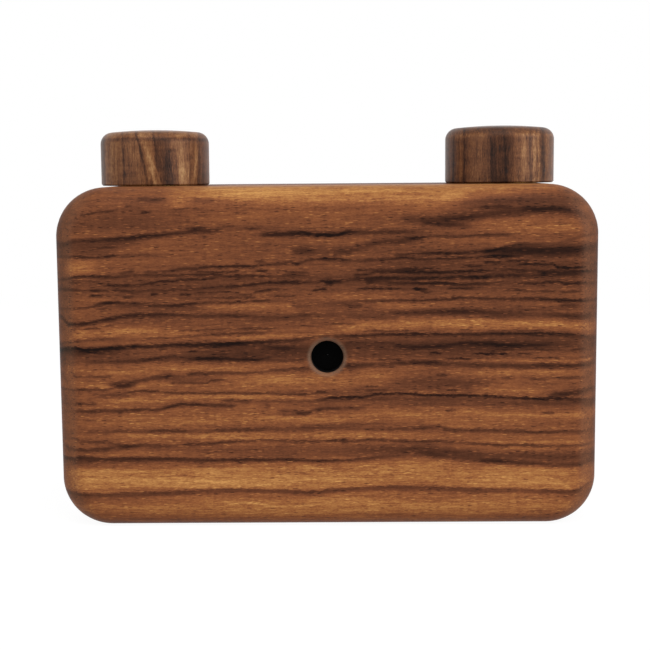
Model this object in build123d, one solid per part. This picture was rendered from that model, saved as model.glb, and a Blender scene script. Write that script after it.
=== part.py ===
from build123d import *
import math
import os

# A wooden pinhole camera for 35 mm film, in millimetres.
# +X is to the right seen from the front, +Y runs from the front face to the back, +Z is up.
# The origin is in the middle of the underside.

# Film cassette and picture
cassette_diameter = 25.0
cassette_height = 47.0
cassette_hub = 4.5
film_width = 35.0
frame_width = 36.0
frame_height = 24.0
focal_length = 30.0

# Wooden body
side_wall = 4.0
floor_wall = 5.7
septum = 3.5
front_board_depth = 6.0
cover_depth = 8.0
corner_radius = 9.7
edge_radius = 5.0
joint_bevel = 0.4
edge_spare = 0.5
dowel_diameter = 4.0
dowel_depth = 3.0
dowel_inset = 8.5

# Clearances
running_gap = 0.05
glue_gap = 0.02
seat_gap = 0.1
panel_gap = 0.2
cassette_clearance = 0.5

# How far a cut runs past the face that it starts from
cut_past = 1.0

# Front hole and pinhole
front_hole_diameter = 6.2
front_hole_rim = 0.8
pinhole_diameter = 0.24
disc_diameter = 12.0
disc_thickness = 0.3
ring_thickness = 1.1
ring_bore = 7.5
ring_notch_width = 1.2
ring_notch_depth = 0.5

# Shutter
blade_thickness = 0.8
blade_height = 11.6
blade_border = 3.0
blade_corner = 1.0
shutter_window = 8.0
shutter_travel = 12.0
stop_pin_diameter = 1.6
stop_pin_depth = 2.0
stop_slot_border = 2.5
pull_height = 12.0
pull_inset = 0.3
pull_lip_thickness = 1.5
pull_lip_reach = 5.5
pull_stem_length = 3.0
pull_stem_depth = 3.0
pull_stem_height = 9.0
pull_round = 0.4
rivet_diameter = 1.4
rivet_spacing = 5.6
scoop_length = 9.0
scoop_round = 3.0
scoop_floor_round = 1.2

# Light chamber and film gate
chamber_mouth_width = 10.0
chamber_mouth_height = 8.0
gate_margin = 1.0
gate_thickness = 1.1
gate_edge = 0.5
gate_corner = 1.0
rail_height = 0.4
rail_step = 0.2
inner_rail_inset = 1.0
inner_rail_width = 1.4
outer_rail_gap = 0.15
outer_rail_width = 1.2
gate_border = 1.15
gate_screw_spacing = 30.0
screw_diameter = 2.0
screw_head_diameter = 3.6
screw_head_depth = 0.8
screw_bite = 4.0
screw_slot_width = 0.4
screw_slot_depth = 0.35

# Pressure plate and its spring
film_gap = 0.05
plate_thickness = 1.0
plate_width = 42.0
plate_overhang = 1.2
plate_corner = 1.5
plate_travel = 0.6
guide_pin_diameter = 1.6
guide_pin_spacing_x = 28.0
guide_pin_spacing_z = 22.0
spring_space = 1.6
spring_leaf_thickness = 0.3
spring_length = 30.0
spring_width = 8.0
spring_flat = 7.0
spring_rivet_diameter = 1.5
spring_rivet_head = 2.6
spring_rivet_head_height = 0.3
spring_rivet_spacing = 3.6

# Back cover
panel_thickness = 1.5
panel_corner = 1.0
panel_screw_spacing_x = 60.0
panel_screw_spacing_z = 36.0
magnet_diameter = 3.0
magnet_length = 2.5
magnet_recess = 0.05
magnet_spacing = 38.0

# Knobs, shafts and what guides them
knob_diameter = 22.2
wind_knob_height = 11.25
rewind_knob_height = 11.6
knob_edge_radius = 2.4
knob_crown = 0.7
knob_base_bevel = 0.3
knob_bore_depth = 7.2
shaft_diameter = 6.2
shaft_flat_depth = 0.5
washer_thickness = 0.3
washer_diameter = 15.0
washer_bore = 9.0
grub_diameter = 3.0
grub_length = 6.0
grub_height = 4.0
grub_socket = 1.5
wind_bush_diameter = 10.0
clip_diameter = 9.5
clip_thickness = 0.6
clip_groove_depth = 0.5
clip_play = 0.2

# Rewind side
lift_travel = 5.3
lift_spare = 0.2
rewind_bush_diameter = 14.0
rewind_bush_thickness = 1.5
sleeve_diameter = 8.5
sleeve_flange_diameter = 11.2
sleeve_flange_thickness = 0.8
fork_reach = 5.0
fork_slot_width = 1.8
fork_slot_depth = 4.0
seat_bore = 13.0
seat_side_gap = 0.2
seat_drop = 0.1

# Take-up side
spool_core_diameter = 11.0
spool_flange_diameter = 24.0
spool_flange_thickness = 1.2
spool_film_gap = 0.25
spool_foot_gap = 0.4
spool_grip = 12.0
spool_slot_width = 1.6
spool_slot_height = 20.0
spool_slot_drop = 2.0
pivot_diameter = 4.0
pivot_reach = 4.0
spool_pin_diameter = 1.5

# Tripod bush, for a camera screw of 1/4 inch, 20 threads to the inch
tripod_bore = 5.2
tripod_bush_diameter = 9.5
tripod_bush_length = 9.0
tripod_flange_diameter = 13.0
tripod_flange_thickness = 1.0

# Sizes that follow across the width
chamber_radius = cassette_diameter / 2 + cassette_clearance
light_half_width = frame_width / 2 + gate_margin
light_half_height = frame_height / 2 + gate_margin
spool_x = light_half_width + septum + chamber_radius
half_width = spool_x + chamber_radius + side_wall

# Sizes that follow up the height
chamber_floor = floor_wall
pinhole_height = chamber_floor + cassette_hub + cassette_height / 2
cassette_top = chamber_floor + cassette_hub + cassette_height
chamber_top = cassette_top + cassette_clearance
clip_room = clip_thickness + 2 * clip_play
flange_top_rest = chamber_top + clip_room + sleeve_flange_thickness
rewind_bush_bottom = flange_top_rest + lift_travel + lift_spare
body_height = rewind_bush_bottom + rewind_bush_thickness
washer_top = body_height + washer_thickness
knob_bottom = body_height + seat_gap
washer_recess_top = washer_top + seat_gap
shaft_top = knob_bottom + knob_bore_depth - seat_gap
grub_z = knob_bottom + grub_height

# Sizes that follow through the depth, from the front face to the back
groove_depth = blade_thickness + 2 * seat_gap
pinhole_setback = groove_depth + seat_gap + ring_thickness + disc_thickness / 2
plate_stack = rail_step + film_gap + plate_thickness
block_depth = focal_length - pinhole_setback + plate_stack + spring_space + panel_thickness
front_y = -(front_board_depth + block_depth + cover_depth) / 2
board_y = front_y + front_board_depth
cover_y = board_y + block_depth
rear_y = cover_y + cover_depth
groove_y = board_y - groove_depth
blade_y = groove_y + seat_gap
pinhole_y = board_y - pinhole_setback
disc_front_y = pinhole_y - disc_thickness / 2
disc_rear_y = pinhole_y + disc_thickness / 2
film_y = pinhole_y + focal_length
gate_face_y = film_y - rail_height
gate_seat_y = gate_face_y - gate_thickness
outer_rail_y = film_y + rail_step
plate_front_y = outer_rail_y + film_gap
plate_rear_y = plate_front_y + plate_thickness
panel_front_y = cover_y - panel_thickness
spool_y = panel_front_y - chamber_radius

# Shutter places, with the shutter closed
pull_outer_x = -half_width + pull_inset
lip_inner_x = pull_outer_x + pull_lip_thickness
stem_inner_x = lip_inner_x + pull_stem_length
scoop_x = stem_inner_x + panel_gap
blade_end_x = shutter_travel + shutter_window / 2 + blade_border
stop_slot_half = stop_pin_diameter / 2 + seat_gap
stop_pin_x = -(disc_diameter / 2 + stop_slot_border + shutter_travel + stop_slot_half)
pull_front_y = board_y - pull_stem_depth * 2 / 3
pull_stem_rear_y = pull_front_y + pull_stem_depth
scoop_half_height = pull_height / 2 + panel_gap

# Film gate and pressure plate outlines
gate_half_width = light_half_width + septum - gate_edge
outer_rail_inner_z = film_width / 2 + outer_rail_gap
gate_half_height = outer_rail_inner_z + outer_rail_width + gate_border
gate_screw_z = (frame_height / 2 + inner_rail_inset + inner_rail_width + outer_rail_inner_z) / 2
plate_half_height = film_width / 2 + plate_overhang

# Spool places
clip_top = chamber_top - seat_gap
spool_top = clip_top - clip_thickness - seat_gap
spool_bottom = chamber_floor + spool_foot_gap
pivot_top = chamber_floor + pivot_reach
wind_shaft_bottom = spool_top - spool_grip
spool_flange_z = film_width / 2 + spool_film_gap
upper_flange_top = pinhole_height + spool_flange_z + spool_flange_thickness
spool_pin_z = (upper_flange_top + spool_top) / 2


def upright(sketch, y_near, y_far):
    """Extrude a sketch drawn in X and Z from y_near back to y_far."""
    plane = Plane(origin=(0, y_far, 0), x_dir=(1, 0, 0), z_dir=(0, -1, 0))
    return extrude(plane * sketch, amount=y_far - y_near)


def rod_y(x, z, diameter, y_near, y_far):
    """A round rod along Y."""
    return upright(Pos(x, z) * Circle(diameter / 2), y_near, y_far)


def rod_z(x, y, diameter, z_low, z_high):
    """A round rod along Z."""
    align = (Align.CENTER, Align.CENTER, Align.MIN)
    return Pos(x, y, z_low) * Cylinder(diameter / 2, z_high - z_low, align=align)


def span_box(x_low, x_high, y_low, y_high, z_low, z_high):
    """A box from its lowest to its highest corner."""
    align = (Align.MIN, Align.MIN, Align.MIN)
    box = Box(x_high - x_low, y_high - y_low, z_high - z_low, align=align)
    return Pos(x_low, y_low, z_low) * box


def body_outline():
    """The front view of the wooden body."""
    return Pos(0, body_height / 2) * RectangleRounded(2 * half_width, body_height, corner_radius)


def spread(spacing_x, spacing_z, centre_z):
    """Four places in X and Z, at the corners of a rectangle."""
    places = []
    for sign_x in (-1, 1):
        for sign_z in (-1, 1):
            places.append((sign_x * spacing_x / 2, centre_z + sign_z * spacing_z / 2))
    return places


def magnet_places():
    """Three places along the floor and three along the top wall."""
    places = []
    for z in (floor_wall / 2, (chamber_top + body_height) / 2):
        for step in (-1, 0, 1):
            places.append((step * magnet_spacing, z))
    return places


def dowel_places():
    """The dowels' four places near the body's corners."""
    spacing_x = 2 * (half_width - dowel_inset)
    return spread(spacing_x, body_height - 2 * dowel_inset, body_height / 2)


def gate_screw_places():
    return spread(gate_screw_spacing, 2 * gate_screw_z, pinhole_height)


def panel_screw_places():
    middle = (chamber_floor + chamber_top) / 2
    return spread(panel_screw_spacing_x, panel_screw_spacing_z, middle)


def guide_pin_places():
    return spread(guide_pin_spacing_x, guide_pin_spacing_z, pinhole_height)


def front_board():
    """The rounded front board, with the front hole, the pinhole's seat and the shutter's groove."""
    board = upright(body_outline(), front_y, board_y)
    rounding = min(edge_radius, front_board_depth - edge_spare, corner_radius - edge_spare)
    board = fillet(board.faces().sort_by(Axis.Y)[0].edges(), rounding)
    hole = rod_y(0, pinhole_height, front_hole_diameter, front_y - cut_past, board_y)
    board -= hole
    rim = board.edges().filter_by(GeomType.CIRCLE).filter_by(
        lambda edge: abs(edge.radius - front_hole_diameter / 2) < glue_gap)
    board = fillet(rim.sort_by(Axis.Y)[0], front_hole_rim)
    board -= rod_y(0, pinhole_height, disc_diameter + 2 * glue_gap, disc_front_y, board_y)
    board -= span_box(scoop_x - panel_gap, blade_end_x + panel_gap, groove_y, board_y,
                      pinhole_height - blade_height / 2 - seat_gap,
                      pinhole_height + blade_height / 2 + seat_gap)
    board -= span_box(-half_width - cut_past, scoop_x, pull_front_y - seat_gap, board_y,
                      pinhole_height - scoop_half_height, pinhole_height + scoop_half_height)
    board -= rod_y(stop_pin_x, pinhole_height, stop_pin_diameter + 2 * glue_gap,
                   groove_y - stop_pin_depth, board_y)
    for x, z in dowel_places():
        board -= rod_y(x, z, dowel_diameter + 2 * glue_gap, board_y - dowel_depth, board_y)
    return board


def film_chamber(x):
    """The room for a cassette or a spool, round in front and open at the back."""
    room = rod_z(x, spool_y, 2 * chamber_radius, chamber_floor, chamber_top)
    room += span_box(x - chamber_radius, x + chamber_radius, spool_y, cover_y,
                     chamber_floor, chamber_top)
    return room


def light_chamber():
    """The tapered room between the pinhole and the film gate."""
    near = Plane(origin=(0, board_y, pinhole_height), x_dir=(1, 0, 0), z_dir=(0, 1, 0))
    far = Plane(origin=(0, gate_seat_y, pinhole_height), x_dir=(1, 0, 0), z_dir=(0, 1, 0))
    mouth = near * Rectangle(chamber_mouth_width, chamber_mouth_height)
    window = far * Rectangle(2 * light_half_width, 2 * light_half_height)
    return loft([mouth.face(), window.face()], ruled=True)


def finger_scoop():
    """The milled recess in the body's side behind the shutter's pull, for a fingernail."""
    z_low = pinhole_height - scoop_half_height
    z_high = pinhole_height + scoop_half_height
    rear = board_y + scoop_length
    scoop = span_box(-half_width - cut_past, scoop_x, board_y, rear, z_low, z_high)
    scoop = fillet(scoop.edges().filter_by(Axis.X).group_by(Axis.Y)[-1], scoop_round)
    floor_edges = scoop.faces().sort_by(Axis.X)[-1].edges()
    return fillet(floor_edges.filter_by(lambda edge: edge.center().Y > board_y + glue_gap), scoop_floor_round)


def body_block():
    """The main wooden block, which holds both film chambers and the light chamber."""
    block = upright(body_outline(), board_y, cover_y)
    block = chamfer(block.faces().sort_by(Axis.Y)[-1].edges(), joint_bevel)
    block -= light_chamber()
    block -= film_chamber(-spool_x)
    block -= film_chamber(spool_x)
    block -= span_box(-spool_x, spool_x, gate_seat_y, cover_y,
                      pinhole_height - gate_half_height - panel_gap,
                      pinhole_height + gate_half_height + panel_gap)
    block -= span_box(-spool_x, spool_x, panel_front_y - seat_gap, cover_y,
                      chamber_floor, chamber_top)
    block -= rod_z(-spool_x, spool_y, wind_bush_diameter + 2 * glue_gap, chamber_top, body_height)
    block -= rod_z(spool_x, spool_y, sleeve_flange_diameter + 2 * seat_gap, chamber_top, body_height)
    block -= rod_z(spool_x, spool_y, rewind_bush_diameter + 2 * glue_gap,
                   rewind_bush_bottom, body_height)
    block -= rod_z(-spool_x, spool_y, pivot_diameter + 2 * glue_gap,
                   chamber_floor - pivot_reach, chamber_floor)
    block -= rod_z(0, 0, tripod_bush_diameter + 2 * glue_gap, 0, tripod_bush_length)
    block -= rod_z(0, 0, tripod_flange_diameter + 2 * glue_gap, 0, tripod_flange_thickness)
    block -= finger_scoop()
    for x, z in magnet_places():
        depth = magnet_length + magnet_recess
        block -= rod_y(x, z, magnet_diameter + 2 * glue_gap, cover_y - depth, cover_y)
    for x, z in dowel_places():
        block -= rod_y(x, z, dowel_diameter + 2 * glue_gap, board_y, board_y + dowel_depth)
    for x, z in gate_screw_places():
        depth = screw_bite + glue_gap
        block -= rod_y(x, z, screw_diameter + 2 * glue_gap, gate_seat_y - depth, gate_seat_y)
    return block


def locating_dowels():
    """Four beech dowels that locate the front board on the block under the glue."""
    dowels = []
    for x, z in dowel_places():
        dowels.append(rod_y(x, z, dowel_diameter, board_y - dowel_depth + glue_gap,
                            board_y + dowel_depth - glue_gap))
    return Compound(children=dowels)


def pinhole_disc():
    """The thin blackened disc with the pinhole in its middle."""
    disc = rod_y(0, pinhole_height, disc_diameter, disc_front_y, disc_rear_y)
    return disc - rod_y(0, pinhole_height, pinhole_diameter, disc_front_y - 1, disc_rear_y + 1)


def pinhole_ring():
    """The ring that holds the disc against its seat, with two notches for a pin spanner."""
    ring_rear_y = disc_rear_y + ring_thickness
    ring = rod_y(0, pinhole_height, disc_diameter, disc_rear_y, ring_rear_y)
    ring -= rod_y(0, pinhole_height, ring_bore, disc_rear_y, ring_rear_y)
    notch_z = ring_notch_width / 2
    ring -= span_box(-disc_diameter, disc_diameter, ring_rear_y - ring_notch_depth, ring_rear_y,
                     pinhole_height - notch_z, pinhole_height + notch_z)
    return ring


def shutter_stop_pin():
    """The pin in the groove that ends the shutter's travel at both ends of its slot."""
    return rod_y(stop_pin_x, pinhole_height, stop_pin_diameter,
                 groove_y - stop_pin_depth + glue_gap, board_y - seat_gap)


def rivet_places():
    rivet_x = (lip_inner_x + stem_inner_x) / 2
    return [(rivet_x, pinhole_height - rivet_spacing / 2), (rivet_x, pinhole_height + rivet_spacing / 2)]


def shutter_blade():
    """The sliding blade, solid over the pinhole when closed, with a round window beside it."""
    start_x = lip_inner_x + glue_gap
    outline = RectangleRounded(blade_end_x - start_x, blade_height, blade_corner)
    outline = Pos((start_x + blade_end_x) / 2, pinhole_height) * outline
    outline -= Pos(shutter_travel, pinhole_height) * Circle(shutter_window / 2)
    slot_middle = stop_pin_x + shutter_travel / 2
    outline -= Pos(slot_middle, pinhole_height) * SlotCenterToCenter(shutter_travel, 2 * stop_slot_half)
    shoulder = Rectangle(stem_inner_x - start_x, blade_height - pull_stem_height)
    for end in (-1, 1):
        outline -= Pos((start_x + stem_inner_x) / 2, pinhole_height + end * blade_height / 2) * shoulder
    blade = upright(outline, blade_y, blade_y + blade_thickness)
    for x, z in rivet_places():
        blade -= rod_y(x, z, rivet_diameter + 2 * glue_gap, groove_y, board_y)
    return blade


def shutter_pull():
    """The brass pull riveted to the blade's end, with a lip for a fingernail."""
    z_low = pinhole_height - pull_stem_height / 2
    z_high = pinhole_height + pull_stem_height / 2
    pull = span_box(pull_outer_x, stem_inner_x, pull_front_y, pull_stem_rear_y, z_low, z_high)
    pull += span_box(pull_outer_x, lip_inner_x, pull_front_y, pull_front_y + pull_lip_reach,
                     pinhole_height - pull_height / 2, pinhole_height + pull_height / 2)
    rear_edges = pull.edges().filter_by(Axis.Z).sort_by(lambda edge: edge.center().Y - edge.center().X)
    pull = fillet(rear_edges[-1], pull_round)
    pull -= span_box(lip_inner_x, stem_inner_x, blade_y - glue_gap,
                     blade_y + blade_thickness + glue_gap, z_low, z_high)
    for x, z in rivet_places():
        pull -= rod_y(x, z, rivet_diameter + 2 * glue_gap, pull_front_y, pull_stem_rear_y)
    return pull


def shutter_rivets():
    """Two flush rivets through the pull's stem and the blade."""
    rivets = []
    for x, z in rivet_places():
        rivets.append(rod_y(x, z, rivet_diameter, pull_front_y, pull_stem_rear_y))
    return Compound(children=rivets)


def countersunk_hole(x, z, face_y, sign, through):
    """A countersunk screw hole: face_y is the face with the head, and sign points into the piece."""
    hole = wood_screw(x, z, face_y, sign, through, glue_gap)
    return hole


def wood_screw(x, z, face_y, sign, length, grow=0.0):
    """A countersunk screw with its head flush at face_y, running along Y by sign."""
    shank_radius = screw_diameter / 2 + grow
    head_radius = screw_head_diameter / 2 + grow
    if sign > 0:
        shank = rod_y(x, z, 2 * shank_radius, face_y, face_y + length)
    else:
        shank = rod_y(x, z, 2 * shank_radius, face_y - length, face_y)
    plane = Plane(origin=(x, face_y, z), x_dir=(1, 0, 0), z_dir=(0, sign, 0))
    head = plane * (Pos(0, 0, screw_head_depth / 2) * Cone(head_radius, shank_radius, screw_head_depth))
    return shank + head


def slotted_screw(x, z, face_y, sign, length):
    """A wood screw with a driver slot across its head."""
    screw = wood_screw(x, z, face_y, sign, length)
    slot_y = sorted((face_y, face_y + sign * screw_slot_depth))
    reach = screw_head_diameter / 2 + 1
    return screw - span_box(x - reach, x + reach, slot_y[0], slot_y[1],
                            z - screw_slot_width / 2, z + screw_slot_width / 2)


def film_gate():
    """The black plate round the picture, with two pairs of rails that the film lies on."""
    outline = RectangleRounded(2 * gate_half_width, 2 * gate_half_height, gate_corner)
    outline -= Rectangle(frame_width, frame_height)
    gate = upright(Pos(0, pinhole_height) * outline, gate_seat_y, gate_face_y)
    inner_z = frame_height / 2 + inner_rail_inset
    for sign in (-1, 1):
        rail_z = pinhole_height + sign * (inner_z + inner_rail_width / 2)
        gate += upright(Pos(0, rail_z) * Rectangle(2 * gate_half_width, inner_rail_width),
                        gate_face_y, film_y)
        rail_z = pinhole_height + sign * (outer_rail_inner_z + outer_rail_width / 2)
        gate += upright(Pos(0, rail_z) * Rectangle(2 * gate_half_width, outer_rail_width),
                        gate_face_y, outer_rail_y)
    for x, z in gate_screw_places():
        gate -= countersunk_hole(x, z, gate_face_y, -1, gate_thickness + 1)
    return gate


def film_gate_screws():
    """Four small screws that hold the film gate to the block."""
    screws = []
    for x, z in gate_screw_places():
        screws.append(slotted_screw(x, z, gate_face_y, -1, gate_thickness + screw_bite))
    return Compound(children=screws)


def tripod_bush():
    """The flanged brass bush in the underside for a tripod screw."""
    bush = rod_z(0, 0, tripod_bush_diameter, 0, tripod_bush_length - glue_gap)
    bush += rod_z(0, 0, tripod_flange_diameter, 0, tripod_flange_thickness - glue_gap)
    return bush - rod_z(0, 0, tripod_bore, -1, tripod_bush_length)


def magnets(y_near, y_far):
    """Six round magnets in one row of places."""
    pieces = []
    for x, z in magnet_places():
        pieces.append(rod_y(x, z, magnet_diameter, y_near, y_far))
    return Compound(children=pieces)


def body_magnets():
    return magnets(cover_y - magnet_length - magnet_recess, cover_y - magnet_recess)


def cover_magnets():
    return magnets(cover_y + magnet_recess, cover_y + magnet_recess + magnet_length)


def wind_bush():
    """The plain brass bush in the top wall that the winding shaft turns in."""
    bush = rod_z(-spool_x, spool_y, wind_bush_diameter, chamber_top, body_height)
    return bush - rod_z(-spool_x, spool_y, shaft_diameter + 2 * running_gap,
                        chamber_top, body_height)


def rewind_bush():
    """The flat brass bush in the top wall that guides the rewind sleeve and stops its flange."""
    bush = rod_z(spool_x, spool_y, rewind_bush_diameter, rewind_bush_bottom, body_height)
    return bush - rod_z(spool_x, spool_y, sleeve_diameter + 2 * running_gap,
                        rewind_bush_bottom, body_height)


def knob_washers():
    """A thin washer on the top face under each knob."""
    washers = []
    for x in (-spool_x, spool_x):
        washer = rod_z(x, spool_y, washer_diameter, body_height, washer_top)
        washers.append(washer - rod_z(x, spool_y, washer_bore, body_height, washer_top))
    return Compound(children=washers)


def take_up_pivot():
    """The brass pin in the floor that carries the take-up spool's lower end."""
    return rod_z(-spool_x, spool_y, pivot_diameter, chamber_floor - pivot_reach + glue_gap, pivot_top)


def cassette_seat():
    """The ring in the floor that a cassette stands on, open at the back for its hub."""
    seat_top = chamber_floor + cassette_hub - seat_drop
    seat = rod_z(spool_x, spool_y, 2 * (chamber_radius - seat_side_gap), chamber_floor, seat_top)
    seat -= rod_z(spool_x, spool_y, seat_bore, chamber_floor, seat_top)
    return seat - span_box(spool_x - seat_bore / 2, spool_x + seat_bore / 2, spool_y,
                           spool_y + chamber_radius, chamber_floor, seat_top)


def knob_profile(height):
    """Half a knob's section, from its axis out, with a domed top and a well rounded edge."""
    radius = knob_diameter / 2
    dome_radius = (radius ** 2 + knob_crown ** 2) / (2 * knob_crown)
    dome_middle = height - dome_radius + math.sqrt(dome_radius ** 2 - radius ** 2 / 4)
    side_top = height - knob_crown
    lines = Line((0, 0), (radius, 0)) + Line((radius, 0), (radius, side_top))
    lines += ThreePointArc((radius, side_top), (radius / 2, dome_middle), (0, height))
    lines += Line((0, height), (0, 0))
    profile = make_face(lines)
    corners = profile.vertices().sort_by(Axis.X)[-2:].sort_by(Axis.Y)
    profile = fillet(corners[-1], min(knob_edge_radius, radius - edge_spare))
    foot = profile.vertices().group_by(Axis.Y)[0].sort_by(Axis.X)[-1]
    return chamfer(foot, knob_base_bevel)


def knob(x, height):
    """A turned wooden knob, hollowed over its washer, bored for its shaft and for its screw."""
    blank = revolve(Plane.XZ * knob_profile(height), Axis.Z)
    blank = Pos(x, spool_y, knob_bottom) * blank
    blank -= rod_z(x, spool_y, washer_diameter + 2 * panel_gap, knob_bottom, washer_recess_top)
    blank -= rod_z(x, spool_y, shaft_diameter + 2 * glue_gap, knob_bottom,
                   knob_bottom + knob_bore_depth)
    return blank - rod_y(x, grub_z, grub_diameter + 2 * glue_gap,
                         spool_y, spool_y + knob_diameter / 2 + cut_past)


def grub_screw(x):
    """The headless screw at the knob's rear side that grips the flat on the shaft."""
    start = spool_y + shaft_diameter / 2 - shaft_flat_depth + glue_gap
    screw = rod_y(x, grub_z, grub_diameter, start, start + grub_length)
    socket = Pos(x, grub_z) * RegularPolygon(grub_socket / 2, 6, major_radius=False)
    return screw - upright(socket, start + grub_length - grub_socket, start + grub_length)


def retaining_clip(x, z_low):
    """A round clip in a groove of the shaft."""
    clip = rod_z(x, spool_y, clip_diameter, z_low, z_low + clip_thickness)
    inner = shaft_diameter - 2 * clip_groove_depth + 2 * glue_gap
    return clip - rod_z(x, spool_y, inner, z_low, z_low + clip_thickness)


def shaft(x, z_low, clip_z):
    """A round shaft with a flat for the grub screw and a groove for its clip."""
    body = rod_z(x, spool_y, shaft_diameter, z_low, shaft_top)
    flat_y = spool_y + shaft_diameter / 2 - shaft_flat_depth
    body -= span_box(x - shaft_diameter, x + shaft_diameter, flat_y, flat_y + shaft_diameter,
                     grub_z - grub_diameter, shaft_top)
    groove = rod_z(x, spool_y, shaft_diameter + cut_past, clip_z - glue_gap,
                   clip_z + clip_thickness + glue_gap)
    groove -= rod_z(x, spool_y, shaft_diameter - 2 * clip_groove_depth, clip_z - glue_gap,
                    clip_z + clip_thickness + glue_gap)
    return body - groove


def wind_shaft():
    """The winding shaft, cross-drilled for the pin that turns the take-up spool."""
    body = shaft(-spool_x, wind_shaft_bottom, clip_top - clip_thickness)
    return body - rod_y(-spool_x, spool_pin_z, spool_pin_diameter + 2 * glue_gap,
                        spool_y - shaft_diameter, spool_y + shaft_diameter)


def wind_clip():
    return retaining_clip(-spool_x, clip_top - clip_thickness)


def take_up_spool():
    """The take-up spool, with two flanges a film's width apart and a slot for the film's end."""
    x = -spool_x
    spool = rod_z(x, spool_y, spool_core_diameter, spool_bottom, spool_top)
    for sign in (-1, 1):
        inner_z = pinhole_height + sign * spool_flange_z
        outer_z = inner_z + sign * spool_flange_thickness
        spool += rod_z(x, spool_y, spool_flange_diameter, min(inner_z, outer_z), max(inner_z, outer_z))
    spool -= rod_z(x, spool_y, shaft_diameter + 2 * glue_gap, wind_shaft_bottom - glue_gap, spool_top)
    spool -= rod_z(x, spool_y, pivot_diameter + 2 * running_gap, spool_bottom, pivot_top + panel_gap)
    slot_top = wind_shaft_bottom - spool_slot_drop
    spool -= span_box(x - spool_slot_width / 2, x + spool_slot_width / 2,
                      spool_y - spool_core_diameter, spool_y + spool_core_diameter,
                      slot_top - spool_slot_height, slot_top)
    return spool - rod_y(x, spool_pin_z, spool_pin_diameter + 2 * glue_gap,
                         spool_y - spool_core_diameter, spool_y + spool_core_diameter)


def spool_pin():
    """The cross pin that locks the spool to the winding shaft."""
    reach = spool_core_diameter / 2 - seat_gap
    return rod_y(-spool_x, spool_pin_z, spool_pin_diameter, spool_y - reach, spool_y + reach)


def rewind_clip_z():
    """The clip's lower face, just under the sleeve."""
    return chamber_top + clip_play


def rewind_shaft():
    """The rewind shaft, forked at its lower end to turn the bar in a cassette's spool."""
    fork_tip = cassette_top - fork_reach
    body = shaft(spool_x, fork_tip, rewind_clip_z())
    return body - span_box(spool_x - fork_slot_width / 2, spool_x + fork_slot_width / 2,
                           spool_y - shaft_diameter, spool_y + shaft_diameter,
                           fork_tip, fork_tip + fork_slot_depth)


def rewind_clip():
    return retaining_clip(spool_x, rewind_clip_z())


def rewind_sleeve():
    """The flanged sleeve that lifts with the rewind knob while the shaft turns inside it."""
    flange_bottom = chamber_top + clip_room
    sleeve = rod_z(spool_x, spool_y, sleeve_diameter, flange_bottom, washer_top)
    sleeve += rod_z(spool_x, spool_y, sleeve_flange_diameter, flange_bottom, flange_top_rest)
    return sleeve - rod_z(spool_x, spool_y, shaft_diameter + 2 * running_gap, flange_bottom, washer_top)


def back_cover():
    """The wooden back, which magnets hold on, rounded like the front."""
    cover = upright(body_outline(), cover_y, rear_y)
    rounding = min(edge_radius, cover_depth - edge_spare, corner_radius - edge_spare)
    cover = fillet(cover.faces().sort_by(Axis.Y)[-1].edges(), rounding)
    cover = chamfer(cover.faces().sort_by(Axis.Y)[0].edges(), joint_bevel)
    for x, z in magnet_places():
        depth = magnet_length + magnet_recess + glue_gap
        cover -= rod_y(x, z, magnet_diameter + 2 * glue_gap, cover_y, cover_y + depth)
    for x, z in panel_screw_places():
        depth = screw_bite + glue_gap
        cover -= rod_y(x, z, screw_diameter + 2 * glue_gap, cover_y, cover_y + depth)
    return cover


def spring_rivet_places():
    return [(-spring_rivet_spacing / 2, pinhole_height), (spring_rivet_spacing / 2, pinhole_height)]


def cover_panel():
    """The black inner panel, which fills the block's rear opening and keeps light out."""
    width = 2 * (spool_x + chamber_radius - panel_gap)
    height = chamber_top - chamber_floor - 2 * panel_gap
    outline = Pos(0, (chamber_floor + chamber_top) / 2) * RectangleRounded(width, height, panel_corner)
    panel = upright(outline, panel_front_y, cover_y)
    for x, z in guide_pin_places():
        panel -= rod_y(x, z, guide_pin_diameter + 2 * running_gap, panel_front_y, cover_y)
    for x, z in spring_rivet_places():
        panel -= rod_y(x, z, spring_rivet_diameter + 2 * glue_gap, panel_front_y, cover_y)
    for x, z in panel_screw_places():
        panel -= countersunk_hole(x, z, panel_front_y, 1, panel_thickness + 1)
    return panel


def panel_screws():
    """Four screws that hold the inner panel to the wooden cover."""
    screws = []
    for x, z in panel_screw_places():
        screws.append(slotted_screw(x, z, panel_front_y, 1, panel_thickness + screw_bite))
    return Compound(children=screws)


def pressure_spring():
    """The leaf spring between the panel and the pressure plate, flat at its riveted middle."""
    seat_y = panel_front_y
    tip_y = plate_rear_y + film_gap
    half = spring_length / 2
    leaf = spring_leaf_thickness
    profile = Polyline((-half, tip_y), (-spring_flat / 2, seat_y - leaf), (spring_flat / 2, seat_y - leaf),
                       (half, tip_y), (half, tip_y + leaf), (spring_flat / 2, seat_y),
                       (-spring_flat / 2, seat_y), (-half, tip_y + leaf), close=True)
    face = make_face(profile)
    spring = Pos(0, 0, pinhole_height - spring_width / 2) * extrude(face, amount=spring_width)
    for x, z in spring_rivet_places():
        spring -= rod_y(x, z, spring_rivet_diameter + 2 * glue_gap, tip_y, seat_y)
    return spring


def spring_rivets():
    """Two round-headed rivets through the spring and the panel."""
    head_y = panel_front_y - spring_leaf_thickness
    rivets = []
    for x, z in spring_rivet_places():
        rivet = rod_y(x, z, spring_rivet_diameter, head_y, cover_y)
        rivet += rod_y(x, z, spring_rivet_head, head_y - spring_rivet_head_height, head_y)
        rivets.append(rivet)
    return Compound(children=rivets)


def pressure_plate():
    """The flat plate that holds the film down on its rails."""
    outline = RectangleRounded(plate_width, 2 * plate_half_height, plate_corner)
    return upright(Pos(0, pinhole_height) * outline, plate_front_y, plate_rear_y)


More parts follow.
